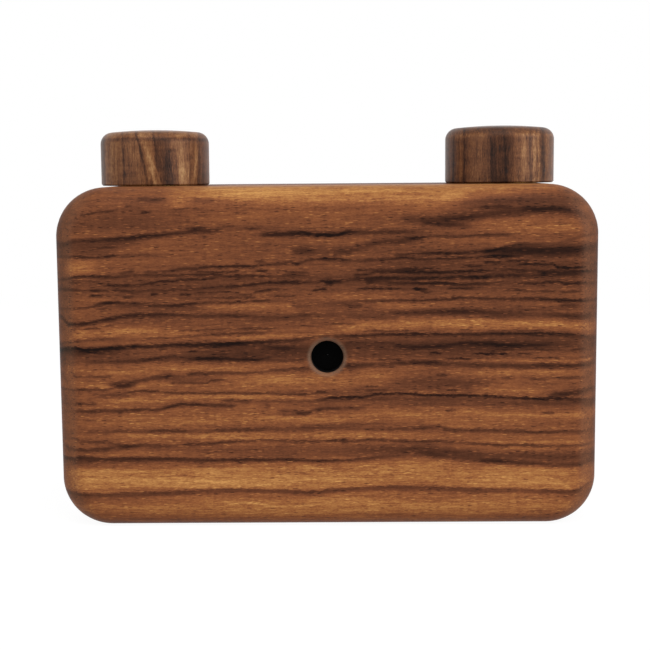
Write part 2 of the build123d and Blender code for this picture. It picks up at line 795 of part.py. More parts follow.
def plate_guide_pins():
    """Four pins on the pressure plate that slide in holes of the inner panel."""
    pins = []
    for x, z in guide_pin_places():
        pins.append(rod_y(x, z, guide_pin_diameter, plate_rear_y, cover_y - plate_travel - seat_gap))
    return Compound(children=pins)


def build_parts():
    """Every sub-part by the name of its node."""
    return {
        "front_board": front_board(),
        "body_block": body_block(),
        "locating_dowels": locating_dowels(),
        "pinhole_disc": pinhole_disc(),
        "pinhole_ring": pinhole_ring(),
        "shutter_stop_pin": shutter_stop_pin(),
        "film_gate": film_gate(),
        "film_gate_screws": film_gate_screws(),
        "tripod_bush": tripod_bush(),
        "body_magnets": body_magnets(),
        "wind_bush": wind_bush(),
        "rewind_bush": rewind_bush(),
        "knob_washers": knob_washers(),
        "take_up_pivot": take_up_pivot(),
        "cassette_seat": cassette_seat(),
        "shutter_blade": shutter_blade(),
        "shutter_pull": shutter_pull(),
        "shutter_rivets": shutter_rivets(),
        "wind_knob": knob(-spool_x, wind_knob_height),
        "wind_knob_screw": grub_screw(-spool_x),
        "wind_shaft": wind_shaft(),
        "wind_clip": wind_clip(),
        "take_up_spool": take_up_spool(),
        "spool_pin": spool_pin(),
        "rewind_sleeve": rewind_sleeve(),
        "rewind_knob": knob(spool_x, rewind_knob_height),
        "rewind_knob_screw": grub_screw(spool_x),
        "rewind_shaft": rewind_shaft(),
        "rewind_clip": rewind_clip(),
        "back_cover": back_cover(),
        "cover_panel": cover_panel(),
        "panel_screws": panel_screws(),
        "cover_magnets": cover_magnets(),
        "pressure_spring": pressure_spring(),
        "spring_rivets": spring_rivets(),
        "pressure_plate": pressure_plate(),
        "plate_guide_pins": plate_guide_pins(),
    }


os.makedirs("parts", exist_ok=True)
for node, shape in build_parts().items():
    export_step(shape, "parts/" + node + ".step")
print("body", round(2 * half_width, 2), "x", round(rear_y - front_y, 2), "x", round(body_height, 2))
print("spool axes at x", round(spool_x, 2), "y", round(spool_y, 2))
print("pinhole height", round(pinhole_height, 2))
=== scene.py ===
import bmesh
import bpy
import math
from mathutils import Matrix, Vector


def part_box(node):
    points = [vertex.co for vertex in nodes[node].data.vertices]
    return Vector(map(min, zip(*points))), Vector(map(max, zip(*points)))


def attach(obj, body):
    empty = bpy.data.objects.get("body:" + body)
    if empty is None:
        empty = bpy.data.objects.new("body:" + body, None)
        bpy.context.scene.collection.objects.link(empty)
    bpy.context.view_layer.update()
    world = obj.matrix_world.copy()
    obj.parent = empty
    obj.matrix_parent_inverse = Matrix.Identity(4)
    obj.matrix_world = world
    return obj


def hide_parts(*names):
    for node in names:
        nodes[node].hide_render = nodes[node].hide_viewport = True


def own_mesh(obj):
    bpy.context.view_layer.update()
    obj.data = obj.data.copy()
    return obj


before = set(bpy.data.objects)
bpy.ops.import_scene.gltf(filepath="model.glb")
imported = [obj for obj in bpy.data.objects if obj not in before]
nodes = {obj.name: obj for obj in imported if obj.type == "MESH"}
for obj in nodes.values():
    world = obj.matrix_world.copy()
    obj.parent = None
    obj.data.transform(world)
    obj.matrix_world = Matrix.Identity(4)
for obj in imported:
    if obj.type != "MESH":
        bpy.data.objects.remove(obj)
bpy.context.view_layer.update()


# Wooden body: the front board, the block and the back are sawn from one walnut blank with its
# grain along the camera's width, so the figure runs on from one to the next. They are sanded,
# rounded and oiled to a satin finish. Sizes here are in millimetres.
def feed(tree, socket, value):
    """Links a socket to another one, or sets its value."""
    if isinstance(value, bpy.types.NodeSocket):
        tree.links.new(value, socket)
    else:
        socket.default_value = value


def add(tree, kind, *values, **named):
    """A new node, its inputs fed in order or by name."""
    node = tree.nodes.new(kind)
    for socket, value in zip(node.inputs, values):
        feed(tree, socket, value)
    for label, value in named.items():
        feed(tree, node.inputs[label.replace("_", " ")], value)
    return node


def calc(tree, operation, *values):
    """One Math node on numbers or sockets."""
    node = add(tree, "ShaderNodeMath", *values)
    node.operation = operation
    return node.outputs[0]


def fade(tree, value, start, end, low=0.0, high=1.0):
    """A smooth step from low at start to high at end."""
    node = add(tree, "ShaderNodeMapRange", value, start, end, low, high)
    node.interpolation_type = "SMOOTHSTEP"
    node.clamp = False
    return node.outputs[0]


def sway(tree, level, swing, reach):
    """A level moved by how far a noise is from its middle, times a reach."""
    return calc(tree, "MULTIPLY_ADD", calc(tree, "SUBTRACT", swing, 0.5), reach, level)


def stretch(tree, vector, scale, shift=(0, 0, 0)):
    """Scales a position along each axis and shifts it."""
    node = add(tree, "ShaderNodeVectorMath", vector)
    node.operation = "MULTIPLY_ADD"
    node.inputs[1].default_value = scale
    node.inputs[2].default_value = shift
    return node.outputs[0]


def noise(tree, vector, detail=2.0, rough=0.5):
    """Noise from 0 to 1 that changes over about one unit of the position."""
    node = add(tree, "ShaderNodeTexNoise", Vector=vector, Scale=1.0, Detail=detail, Roughness=rough)
    return node.outputs[0]


def blend(tree, share, first, second):
    """Mixes two colours by a share."""
    node = tree.nodes.new("ShaderNodeMix")
    node.data_type = "RGBA"
    for index, value in ((0, share), (6, first), (7, second)):
        feed(tree, node.inputs[index], value)
    return node.outputs[2]


def srgb(red, green, blue):
    """A colour given as 8-bit sRGB, as linear values."""
    linear = []
    for channel in (red / 255, green / 255, blue / 255):
        linear.append(channel / 12.92 if channel <= 0.04045 else ((channel + 0.055) / 1.055) ** 2.4)
    return (*linear, 1.0)


def tones(tree, value, stops):
    """A colour ramp; each stop is a place and a colour as 8-bit sRGB."""
    node = add(tree, "ShaderNodeValToRGB", value)
    ramp = node.color_ramp
    while len(ramp.elements) < len(stops):
        ramp.elements.new(0.5)
    for element, (position, colour) in zip(ramp.elements, stops):
        element.position = position
        element.color = srgb(*colour)
    return node.outputs[0]


def group(name, kind, inputs, outputs):
    """A new shader group with inputs of one kind and outputs that are values, and its sockets."""
    tree = bpy.data.node_groups.new(name, "ShaderNodeTree")
    for label in inputs:
        tree.interface.new_socket(label, in_out="INPUT", socket_type=kind)
    for label in outputs:
        tree.interface.new_socket(label, in_out="OUTPUT", socket_type="NodeSocketFloat")
    return tree, tree.nodes.new("NodeGroupInput").outputs, tree.nodes.new("NodeGroupOutput").inputs


def place(tree, shared, **values):
    """Puts a shared group in a tree, with its inputs by name, and returns its outputs."""
    node = tree.nodes.new("ShaderNodeGroup")
    node.node_tree = shared
    for label, value in values.items():
        feed(tree, node.inputs[label.replace("_", " ")], value)
    return node.outputs


def material(name, roughness, metallic=0.0, specular=0.5):
    """A new material, its tree, its Principled shader and the position in millimetres."""
    made = bpy.data.materials.new(name)
    made.use_nodes = True
    tree = made.node_tree
    shader = tree.nodes["Principled BSDF"]
    shader.inputs["Roughness"].default_value = roughness
    shader.inputs["Metallic"].default_value = metallic
    shader.inputs["Specular IOR Level"].default_value = specular
    coordinates = tree.nodes.new("ShaderNodeTexCoord")
    return made, tree, shader, stretch(tree, coordinates.outputs["Object"], (1000, 1000, 1000))


def split(tree, vector):
    """The three parts of a position or direction."""
    return add(tree, "ShaderNodeSeparateXYZ", vector).outputs[:]


def join(tree, *parts):
    """A position from its three parts."""
    return add(tree, "ShaderNodeCombineXYZ", *parts).outputs[0]


def within(tree, value, low, high):
    """1 between two limits and 0 outside them."""
    return calc(tree, "MULTIPLY", calc(tree, "GREATER_THAN", value, low),
                calc(tree, "LESS_THAN", value, high))


def distance(tree, first, second):
    """How far a point is from the origin of two axes."""
    return calc(tree, "SQRT", calc(tree, "ADD", calc(tree, "MULTIPLY", first, first),
                                   calc(tree, "MULTIPLY", second, second)))


def relief(tree, shader, height, depth):
    """Raises the surface by a height from 0 to 1, times a depth in millimetres."""
    bump = add(tree, "ShaderNodeBump", Strength=1.0, Distance=depth / 1000, Height=height)
    feed(tree, shader.inputs["Normal"], bump.outputs[0])


def dress(made, *names):
    """Gives CAD nodes their material."""
    for name in names:
        for material_slot in nodes[name].material_slots:
            material_slot.material = made


# Fibres, pores and flecks of walnut: X of the grain position runs along the fibres. Each noise is
# stretched along them and shifted, so that no two of them agree.
fibre_group, given, gives = group(
    "walnut fibre", "NodeSocketVector", ["Grain Position"],
    ["Fibre", "Pore", "Fleck", "Mottle", "Height"])
grain = given["Grain Position"]
coarse = noise(fibre_group, stretch(fibre_group, grain, (0.07, 1.1, 1.1)), 2, 0.6)
fine = noise(fibre_group, stretch(fibre_group, grain, (0.4, 3.6, 3.6), (31, 7, 3)), 3, 0.75)
speck = noise(fibre_group, stretch(fibre_group, grain, (2.2, 6.5, 6.5), (13, 2, 8)), 1, 0.5)
fibre = calc(fibre_group, "MULTIPLY_ADD", coarse, 0.32, calc(fibre_group, "MULTIPLY", fine, 0.5))
fibre = calc(fibre_group, "MULTIPLY_ADD", speck, 0.26, calc(fibre_group, "SUBTRACT", fibre, 0.04))
cells = add(fibre_group, "ShaderNodeTexVoronoi", Scale=1.0,
            Vector=stretch(fibre_group, grain, (0.65, 4.0, 4.0)))
chance = add(fibre_group, "ShaderNodeSeparateColor", cells.outputs["Color"])
dash = fade(fibre_group, cells.outputs["Distance"], 0.42, 0.2)
pore = calc(fibre_group, "MULTIPLY", dash, fade(fibre_group, chance.outputs[0], 0.68, 0.82))
fleck = calc(fibre_group, "MULTIPLY", dash, fade(fibre_group, chance.outputs[1], 0.74, 0.9))
mottle = noise(fibre_group, stretch(fibre_group, grain, (0.9, 0.35, 0.35), (5, 11, 2)), 3, 0.6)
for label, value in (("Fibre", fibre), ("Pore", pore), ("Fleck", fleck), ("Mottle", mottle),
                     ("Height", calc(fibre_group, "SUBTRACT", fibre, pore))):
    feed(fibre_group, gives[label], value)

# The figure: each grain line is its level, its reach above and below in millimetres, then points
# of its course along the front, as X, height over the level and how much darker the wood is
# there, in hundredths. Light bands are below zero.
grain_lines = [
    # Golden bands and other light wood, from the top down
    (66, 1.6, 1.4, [(-33, .4, 0), (-26, .4, -10), (-14, .3, -16), (10, .3, -17), (32, .3, -14),
        (44, .3, -6), (50, .3, 0)]),
    (64, 1.6, 1.8, [(-31, 0, 0), (-28, 0, -20), (-25, .6, -12), (-22, 1.2, -20), (-15, .8, -24),
        (-5, .6, -22), (8, .6, -20), (18, .2, -20), (24, .2, -22), (28, .9, -12), (35, 1.8, -8),
        (45, 2, -5), (50, 2, 0)]),
    (51, 1.6, 1.6, [(-50.5, .2, 0), (-49, .2, -14), (-46, .3, -14), (-43, .6, 0)]),
    (58, 1.5, 1.3, [(27, .4, 0), (30, .6, -10), (35, .5, -13), (41, .3, -15), (46, .2, -13),
        (49, 0, 0)]),
    (55, 1, 1.1, [(19, .4, 0), (24, .5, -6), (30, .6, -5), (33, 0, -10), (35, .2, -6),
        (37, .8, 0)]),
    (45, .9, .9, [(-9, .2, 0), (-5, .3, -6), (0, .5, -7), (12, .4, -5), (17, .3, 0)]),
    (44, .5, .5, [(-48, .8, 0), (-45.5, 1, -6), (-43, 1.1, -10), (-40, 1, 0)]),
    (43, 1, 1.1, [(-24.5, 0, 0), (-22, .3, -10), (-17, .5, -13), (-12, .6, -10), (-7, .4, -8),
        (-4, .2, 0), (8, .6, 0), (11, .4, -8), (16, .4, -10), (22, .4, -6), (26, .7, 0)]),
    (39, 1.5, 1.4, [(0, .3, 0), (3, .5, -10), (8, .8, -17), (14, 1, -21), (20, 1, -22),
        (30, .9, -20), (40, .8, -18), (47, .5, -16), (51, 0, -10), (52.5, 0, -5)]),
    (38, .9, .8, [(-50, .6, 0), (-48.5, .6, -14), (-44, .8, -10), (-40, .9, -18),
        (-34, 1.2, -15), (-31, .9, -4), (-27, .5, -8), (-23, .6, 0)]),
    (37, .7, .6, [(-19, .6, -4), (-17, .7, -10), (-10, .9, -12), (-4, 1.3, -8), (3, 1.7, 0)]),
    (31, 1.3, 1.2, [(-52, .6, -5), (-46, .6, -10), (-38, .5, -10), (-31, 1, -13), (-24, 1, -16),
        (-15, 1, -13), (-8, 1.3, -10), (-3, 1.2, 0)]),
    (32, .35, .35, [(3, .8, 0), (5, .8, -12), (10, .9, -6), (17, .9, 0), (28, .9, -8),
        (34, .9, -10), (40, .8, -13), (50.5, .9, -14), (51.5, 1, 0)]),
    (30, .8, .8, [(22, 1, 0), (25, .6, -4), (31, .5, -10), (38, .4, -10), (45, .3, -8),
        (49, .3, 0)]),
    (28, 2, 1.7, [(-19, 0, -4), (-15, .4, -10), (-8, .9, -13), (0, .8, -10), (5, 1.6, -10),
        (9, 2.1, -10), (12, 2.2, -3), (14, 2, 0)]),
    (27, 1.2, 1.1, [(27, .2, 0), (30, .1, -13), (35, .2, -14), (39, 0, -13), (43, -.2, -6),
        (47, 1, 0)]),
    (25, .9, .9, [(-46, .2, 0), (-43, .3, -8), (-38, .6, -14), (-33, .3, -12), (-28, .9, -12),
        (-20, 1.1, -13), (-10, .9, -11), (-2, .8, -8), (1, 1, 0)]),
    (21, 1.5, 1.1, [(-50, 0, -2), (-40, .5, -6), (-30, -.1, -8), (-18, .6, -10), (2, .7, -12),
        (14, 1.4, -11), (25, 1.5, -8), (40, 1.3, -6), (52, 1, -8)]),
    (18, .9, .9, [(-41, .2, 0), (-38, .4, -12), (-33, .2, -14), (-29, .3, -8), (-24, .2, -14),
        (-12, .3, -17), (-4, .3, -13), (3, .4, -12), (10, .4, -8), (16, .3, -5), (22, 0, 0)]),
    (14, .35, .35, [(-46, .7, 0), (-43, .8, -10), (-38, .7, -6), (-34, .6, 0)]),
    (10, 3.4, 3.3, [(-52, .2, -6), (-49.5, 0, -16), (-46, 0, -22), (-40, .4, -20),
        (-20, .5, -21), (-8, .6, -20), (5, .7, -19), (15, 1, -16), (25, .6, -17), (35, .1, -19),
        (45, -.2, -20), (48.5, -.4, -13), (52.5, -.5, -6)]),
    (9, 1.2, 1.2, [(-52, .2, 0), (-48, .4, -6), (-44, .6, -8), (-30, .2, -8), (-10, .1, -8),
        (5, .2, -6), (15, 0, -3), (25, .2, -3), (45, -.3, -6), (48, -.4, 0)]),
    (4, 2.2, 2.2, [(-40, .8, -3), (-20, 1, -8), (0, 1, -10), (20, 1.2, -11), (35, 1.2, -11),
        (45, 1, -6), (49, .6, 0)]),
    # Broad dim wood
    (48, 11, 10, [(-52, 1, 2), (-38, 1, 6), (-20, 1, 7), (5, 2, 10), (25, 2, 14), (42, 2, 14),
        (52, 1, 8)]),
    (34, 3, 3, [(-52, .5, 13), (-20, .5, 9), (10, .5, 9), (40, .5, 4), (52, .5, 0)]),
    (26, 5, 5, [(-20, 0, -1), (10, .5, 4), (40, .5, 4), (52, 0, 0)]),
    (20, 4, 4, [(-52, 1, -2), (-20, 1, -2), (30, 1, -4), (45, 1, -2), (52, 1, 0)]),
    (3, 5, 5, [(-52, .5, -5), (-20, .5, -10), (20, .5, -11), (52, .5, -6)]),
    (60, 3.5, 3.5, [(-51, -.5, 5), (-46, 0, 10), (-40, .5, 12), (-34, .5, 10), (-28, .7, 6),
        (-20, 1, 0)]),
    (54, 1.3, 1.2, [(-51, .8, 10), (-46, .6, 14), (-42, .5, 10), (-39.5, .4, 0)]),
    (47, 2.5, 2.8, [(-52, 0, 8), (-44, 0, 10), (-36, 0, 12), (-28, .2, 10), (-18, .5, 6),
        (-8, .6, 4), (0, .5, 4), (8, .8, 3), (20, 1, 1), (40, 1, 0), (52, 1, 0)]),
    (50, 1.6, 1.6, [(4, .3, 0), (10, .3, 3), (20, .2, 3), (48, 0, 3), (52, 0, 0)]),
    (41, 1.6, 1.6, [(-52, .3, 5), (-20, .3, 7), (20, .6, 5), (52, .6, 2)]),
    (34, 2.4, 2.6, [(-30, .8, 0), (-26, .7, 10), (-18, .8, 15), (-8, 1, 14), (0, 2, 13),
        (8, 2.4, 13), (16, 2.4, 17), (24, 2.6, 22), (34, 2.7, 24), (42, 2.9, 22), (48, 2.8, 19),
        (52.5, 2.2, 10)]),
    (62, 2.3, 2.3, [(20, -.4, 0), (24, 0, 8), (28, .7, 15), (34, 1.2, 19), (45, 1.4, 19),
        (48, 1, 10), (50, .5, 0)]),
    (28, 1.4, 1.5, [(11, .5, 0), (15, 1, 10), (18, 1.2, 16), (24, .8, 16), (29, .5, 13),
        (34, .8, 0)]),
    (29, 1.3, 1.3, [(-33, .7, 0), (-29, .5, 13), (-26, .4, 14), (-22, .5, 11), (-18.5, .6, 0)]),
    (14, 1.3, 1.3, [(-30, 1.4, 0), (-25, 1.5, 5), (-18, 1, 10), (-10, 1, 14), (-3, .9, 13),
        (4, 1.1, 16), (10, 1.4, 22), (17, 1.4, 28), (22, 1.2, 28), (27, .6, 22), (32, .1, 19),
        (44, -.3, 19), (50, -.2, 12), (52.5, 0, 8)]),
    (6, .7, 1.8, [(-51, .6, 10), (-48, .6, 16), (-44, .6, 13), (-38, .6, 12), (-33, .6, 8),
        (-15, 1, 7), (6, 1.2, 5), (20, 1.2, 9), (30, .9, 8), (42, .7, 10), (52, 1, 10)]),
    (1, 1.5, 3.5, [(-52, 1, 10), (-46, 1, 10), (-30, .6, 7), (10, .4, 4), (30, .4, 5),
        (42, .6, 10), (52, 1, 14)]),
    # Dark lines, from the top down
    (63, .5, .5, [(-37, 1, 0), (-35, 1.2, 15), (-33, 1, 22), (-31, 1.1, 8), (-30, 1.1, 0),
        (-25.6, .9, 0), (-24.5, .9, 16), (-22, .8, 12), (-21, .8, 0)]),
    (62, .28, .3, [(-47, -.6, 0), (-46.3, -.6, 20), (-45, -.4, 25), (-43.5, -.1, 20),
        (-40.8, 0, 18), (-39, .4, 0), (-38.4, .9, 0), (-37.8, .9, 20), (-36.6, 1, 0),
        (-35.5, -.3, 0), (-34.8, -.3, 25), (-33.6, -.3, 20), (-33, -.3, 0), (-29.5, .3, 0),
        (-28.8, .3, 20), (-27.2, .3, 15), (-26, .3, 0), (-24.8, .4, 15), (-23.3, .4, 12),
        (-22.5, .4, 0)]),
    (62, .4, .45, [(28.5, .1, 0), (30, .2, 20), (34, .3, 18), (36, .2, 8), (40, 0, 10),
        (48, 0, 0)]),
    (60, 1, .9, [(13.5, 0, 0), (15, .1, 14), (17, .1, 18), (20, -.05, 20), (24, .05, 28),
        (28, .35, 26), (31, .8, 20), (35, 1.2, 20), (38, 1.5, 26), (42, 1.7, 28), (45, 1.5, 28),
        (47.5, 1.1, 24), (49, .6, 12), (51, 0, 0)]),
    (58, .5, .6, [(17.5, 1.2, 0), (19, 1.3, 20), (22, 1, 22), (25, .9, 20), (28, .8, 0)]),
    (58, .3, .3, [(-20.5, 1, 0), (-19.5, 1, 14), (-17.6, .95, 10), (-16.6, .7, 0),
        (-15.2, .5, 14), (-14, .5, 24), (-12.9, .55, 14), (-12, .6, 0)]),
    (58, .3, .3, [(-28, .6, 0), (-26, .7, 12), (-24, .8, 20), (-22.5, .9, 0)]),
    (56, .5, .6, [(-51, -.1, 5), (-49.9, 0, 10), (-47, .5, 16), (-43, .7, 22), (-40.6, .75, 27),
        (-37, 1, 30), (-32.6, 1.3, 32), (-29.6, 1.6, 27), (-27, 1.9, 22), (-25, 2.2, 30),
        (-22, 2.2, 24), (-20.2, 2.25, 18), (-19.6, 2.3, 0)]),
    (56, .7, .9, [(-51, -.1, 5), (-45, .1, 14), (-40, .2, 16), (-36, .6, 10), (-33, .9, 0)]),
    (57, .6, .65, [(-13.2, .4, 0), (-12, .4, 22), (-9, .45, 32), (-7, .5, 28), (-4, .5, 26),
        (-1, .3, 28), (2, .3, 28), (5, .6, 26), (8, .7, 20), (12, .65, 24), (15, .6, 20),
        (20, .7, 0)]),
    (57, .5, .45, [(-8, .7, 0), (-5, .7, 12), (-2, .1, 12), (-.8, 0, 20), (.5, 0, 22),
        (1.8, 0, 18), (4, .8, 12), (6, .9, 0)]),
    (56, .3, .45, [(15, .3, 0), (17, .4, 26), (18.5, .6, 24), (20, .75, 18), (26, .85, 20),
        (30, 1, 20), (34, 1.1, 18), (36, 1.1, 0)]),
    (54, .9, .9, [(-7, .3, 0), (-5.6, .2, 20), (-3, .15, 20), (-1, 0, 10), (1, -.1, 14),
        (4, 0, 18), (6, .7, 16), (8, 1.3, 18), (11, 1.8, 24), (14, 1.9, 24), (16, 2.2, 18),
        (20, 2.4, 0)]),
    (55, .3, .4, [(-50, 0, 0), (-45, 0, 8), (-42, .1, 20), (-40, .05, 16), (-36, 0, 0)]),
    (53, .3, .4, [(-50.5, .4, 12), (-47, .35, 30), (-45, .2, 25), (-43, .3, 30), (-41, .5, 32),
        (-39, .55, 14), (-34, .6, 12), (-31, .6, 0)]),
    (53, 1.2, 1.3, [(29, .8, 0), (31, .8, 14), (34, .9, 26), (38, 1, 28), (42, .8, 26),
        (46, 1, 26), (49, 1.3, 20), (52, 1.5, 8)]),
    (53, .35, .45, [(-14, -.65, 0), (-13.2, -.65, 20), (-11.6, -.65, 18), (-11, -.6, 0),
        (12, .3, 0), (13, .3, 14), (16, .4, 20), (19, .5, 22), (22, .55, 30), (26, .6, 22),
        (29, .8, 20), (31, 1, 22), (33, 1.4, 20), (35, 1.8, 16), (37, 2.3, 14), (43, 2.3, 5),
        (45, 2.6, 10), (47.5, 3.2, 14), (49.5, 3.8, 14), (52, 4, 5)]),
    (51, .25, .3, [(29.5, .8, 0), (30.6, .85, 24), (32.8, .85, 24), (33.4, .9, 5), (35.3, 1, 20),
        (38, 1, 20), (38.8, 1, 0)]),
    (50, .35, .4, [(-40, .1, 0), (-39.3, .15, 12), (-37.2, .5, 20), (-36.6, .5, 0),
        (-35.4, .1, 0), (-34, .3, 12), (-31, .5, 16), (-29, .7, 22), (-25, 1, 26),
        (-22, 1.3, 28), (-15, 1.3, 32), (-13.9, 1.4, 25), (-12, 1.6, 16), (-9, 1.8, 18),
        (-7, 2.1, 20), (-5.5, 1.8, 30), (-4.8, 1.9, 14), (-3.5, 2.4, 20), (0, 2.55, 30),
        (3, 2.5, 28), (5, 2.3, 12), (9, 2.35, 20), (12, 2.5, 20), (15, 2.65, 28),
        (18.5, 2.4, 16), (25, 2.6, 20), (29.5, 2.8, 20), (31.5, 2.9, 30), (34, 2.9, 25),
        (36, 2.9, 12), (38, 3, 0)]),
    (50, .25, .28, [(-26.5, .3, 0), (-25, .4, 18), (-20, .3, 24), (-17.2, .35, 22),
        (-16.6, .35, 0), (-13.8, .5, 0), (-13, .5, 32), (-11.5, .5, 28), (-11, .5, 0),
        (-9.2, .6, 0), (-8.2, .6, 18), (-7.4, .2, 12), (-6.6, .15, 22), (-3.6, .15, 16),
        (-3, .2, 0), (5.5, .4, 0), (6.5, .5, 20), (8.3, .5, 18), (11, .6, 12), (14.5, .6, 20),
        (18, .65, 26), (19.9, .7, 24), (21, .8, 0), (25.6, 1, 0), (26.6, 1, 16), (29.3, 1, 14),
        (30, 1.2, 0), (35.8, 1.3, 0), (37, 1.35, 20), (42.8, 1.35, 22), (44, .8, 30),
        (46, .6, 30), (48.8, .6, 22), (49.5, .6, 0)]),
    (49, .35, .45, [(-51.5, -.2, 12), (-49.5, .2, 20), (-48, .5, 32), (-46, .65, 30),
        (-43.5, .5, 26), (-40, .5, 20), (-37, .8, 15), (-34, .75, 20), (-30, .7, 22),
        (-26, .8, 22), (-21.8, .8, 26), (-20, .6, 18), (-18, .45, 24), (-15, .5, 20),
        (-12, .5, 22), (-10, .5, 5), (-7, .6, 18), (-4, .6, 14), (-2, .6, 0), (4.5, .6, 0),
        (6, .65, 20), (8, .7, 16), (9.5, 1.1, 20), (14, 1.1, 24), (20, 1, 28), (24, 1, 20),
        (26, 1.1, 26), (29.5, 1.15, 26), (32, 1.2, 10), (37, 1.2, 20), (39, 1.2, 8),
        (41, .95, 18), (44, .9, 22), (48.5, .9, 22), (52, .8, 5)]),
    (48, .3, .35, [(-50, .4, 0), (-49, .4, 16), (-47.4, .45, 14), (-46.4, .6, 5),
        (-45.8, .65, 16), (-44.2, .5, 12), (-42.6, 0, 20), (-38.6, -.2, 20), (-36, -.1, 12),
        (-33.5, .2, 22), (-30, .65, 22), (-25, .95, 22), (-22, 1.1, 20), (-20, 1.3, 0)]),
    (46, .4, .45, [(-52, .9, 8), (-49.8, 1, 18), (-48, 1, 14), (-46, .8, 8), (-44.5, .8, 22),
        (-43, .8, 20), (-42, .9, 10), (-40.5, .9, 18), (-36, .5, 14), (-34.5, .8, 12),
        (-30, .8, 14), (-23, 1.2, 12), (-19, 1.4, 18), (-16, 1.65, 24), (-12.2, 2, 24),
        (-9, 2.15, 26), (-5, 2.2, 22), (-2, 2.3, 12), (-.5, 2.4, 30), (1.8, 2.3, 28),
        (4, 2.5, 12), (8, 2.8, 20), (12, 2.85, 22), (15, 2.8, 18), (19, 2.9, 24),
        (22.5, 2.9, 22), (26, 3, 16), (28.8, 2.9, 32), (30, 2.9, 30), (32, 3.2, 14),
        (36, 3.2, 16), (39, 3.1, 10), (42, 3.3, 16), (47, 3.3, 16), (50, 3.2, 0)]),
    (47, .4, .45, [(-.6, .8, 0), (0, .8, 22), (1, .8, 22), (1.5, .8, 0), (7, 1.2, 0),
        (8, 1.2, 16), (11, 1.2, 10), (12, .95, 16), (16, .9, 20), (20, .75, 30), (22.5, .85, 30),
        (24, .65, 26), (28, .6, 24), (32, .6, 18), (36, .7, 10), (38.5, .7, 22), (40.8, .7, 22),
        (42, .9, 26), (44.5, .95, 22), (46, .7, 30), (48, .7, 28), (50.5, .6, 12), (52, .6, 5)]),
    (46, .3, .35, [(16.4, .9, 0), (17.2, .85, 28), (19, .65, 24), (19.6, .6, 0), (22.6, .8, 0),
        (23.6, .8, 24), (27.2, .8, 24), (28.5, .8, 8), (33.5, .6, 0), (34.8, .5, 18),
        (37, .4, 18), (38.4, .15, 16), (43.2, .15, 22), (44, .2, 6), (45, .1, 20), (48, .1, 18),
        (49, .1, 0)]),
    (46, .26, .32, [(-46, -.1, 0), (-44.8, -.1, 24), (-43.2, -.05, 20), (-42.6, 0, 0),
        (-39.3, -.35, 0), (-38.8, -.35, 20), (-37.3, -.35, 16), (-36.8, -.3, 0), (-34, -.05, 0),
        (-33.5, 0, 25), (-32.5, .05, 22), (-31.9, .1, 0), (-28.4, 0, 0), (-27.9, 0, 24),
        (-26.6, 0, 20), (-25.5, .3, 8), (-24.5, .4, 20), (-19, .4, 20), (-17, .2, 10),
        (-15.8, -.2, 16), (-14.5, -.2, 20), (-14.1, 0, 0), (-13.8, .4, 20), (-11.5, .6, 22),
        (-9.3, .9, 16), (-8.5, .9, 0), (-3, .7, 0), (-2.2, .7, 26), (-.4, .75, 24), (.5, .7, 0),
        (5.5, .8, 0), (6.3, .8, 26), (9, .85, 28), (13, .9, 26), (15, .8, 10), (16.5, .8, 14),
        (17.5, .6, 24), (18.9, .1, 24), (20.2, 0, 0)]),
    (45, .2, .24, [(-29, .3, 0), (-28, .3, 10), (-20, .3, 14), (-18.8, .35, 22), (-14, .35, 22),
        (-13.6, .35, 0), (-10.3, .5, 0), (-9.8, .5, 20), (-6.3, .5, 18), (-5.8, .5, 0)]),
    (44, .35, .5, [(-52, -.8, 8), (-48, -.5, 20), (-45, -.2, 24), (-43.6, .3, 22),
        (-42, .55, 36), (-40.4, .6, 34), (-39, .4, 18), (-36, .4, 20), (-34, .2, 18),
        (-32, 0, 20), (-30, 0, 24), (-27, .1, 26), (-25, .35, 26), (-21, .45, 22), (-18, .5, 30),
        (-16, .5, 30), (-14.8, .6, 14), (-14, .7, 30), (-11.4, .7, 26), (-10, .6, 10),
        (-1, .6, 6), (4, .5, 12), (8, .6, 18), (12, .65, 22), (16, .6, 26), (20, .65, 26),
        (23, .8, 24), (25, 1, 30), (27, .95, 22), (34, .85, 24), (38, .8, 26), (42, .65, 28),
        (45, .4, 34), (48.3, .35, 32), (50, .3, 16), (52.5, .3, 5)]),
    (43, .7, .9, [(-45, 1, 0), (-42, .9, 14), (-38, .8, 16), (-32, .6, 12), (-27, .7, 12),
        (-21, .9, 0)]),
    (43, .4, .5, [(-44.5, .2, 0), (-44, .25, 16), (-42.3, .3, 14), (-41.8, .3, 0), (-7, .6, 0),
        (-6.3, .65, 14), (-3.8, .6, 12), (-2, .8, 4), (1, .9, 12), (4, .8, 14), (5, .55, 20),
        (6.6, .6, 16), (7.2, .7, 0), (44, .4, 0), (45, .5, 20), (47.8, .45, 20), (48.8, .5, 0)]),
    (41, .5, .6, [(-52.5, 1.2, 10), (-50.9, .4, 20), (-50.2, -.4, 30), (-49.5, -.6, 30),
        (-47, -.55, 32), (-44.6, -.2, 30), (-42, .3, 32), (-39, .85, 30), (-37, 1.1, 30),
        (-34, 1.15, 26), (-32, 1.25, 28), (-29.6, 1.1, 24), (-25, 1, 18), (-17, .9, 20),
        (-14.5, .8, 12), (-12, .4, 12), (-8, .5, 14), (-5, .8, 16), (-2, .85, 10), (2, .8, 6),
        (6, .6, 12), (9.6, .3, 14), (12.5, .2, 14), (14, .3, 0)]),
    (41, .8, .9, [(9, 1.1, 0), (11, 1.2, 8), (16, 1.3, 14), (20, 1.4, 19), (23, 1.3, 22),
        (27, 1.3, 22), (31, 1, 20), (35, .7, 18), (41, .7, 12), (44, .4, 20), (46, .25, 26),
        (48.8, .3, 22), (52, .3, 5)]),
    (39, .25, .3, [(-49.5, .3, 0), (-49, .35, 14), (-48, .4, 12), (-47, .4, 3), (-46, .5, 20),
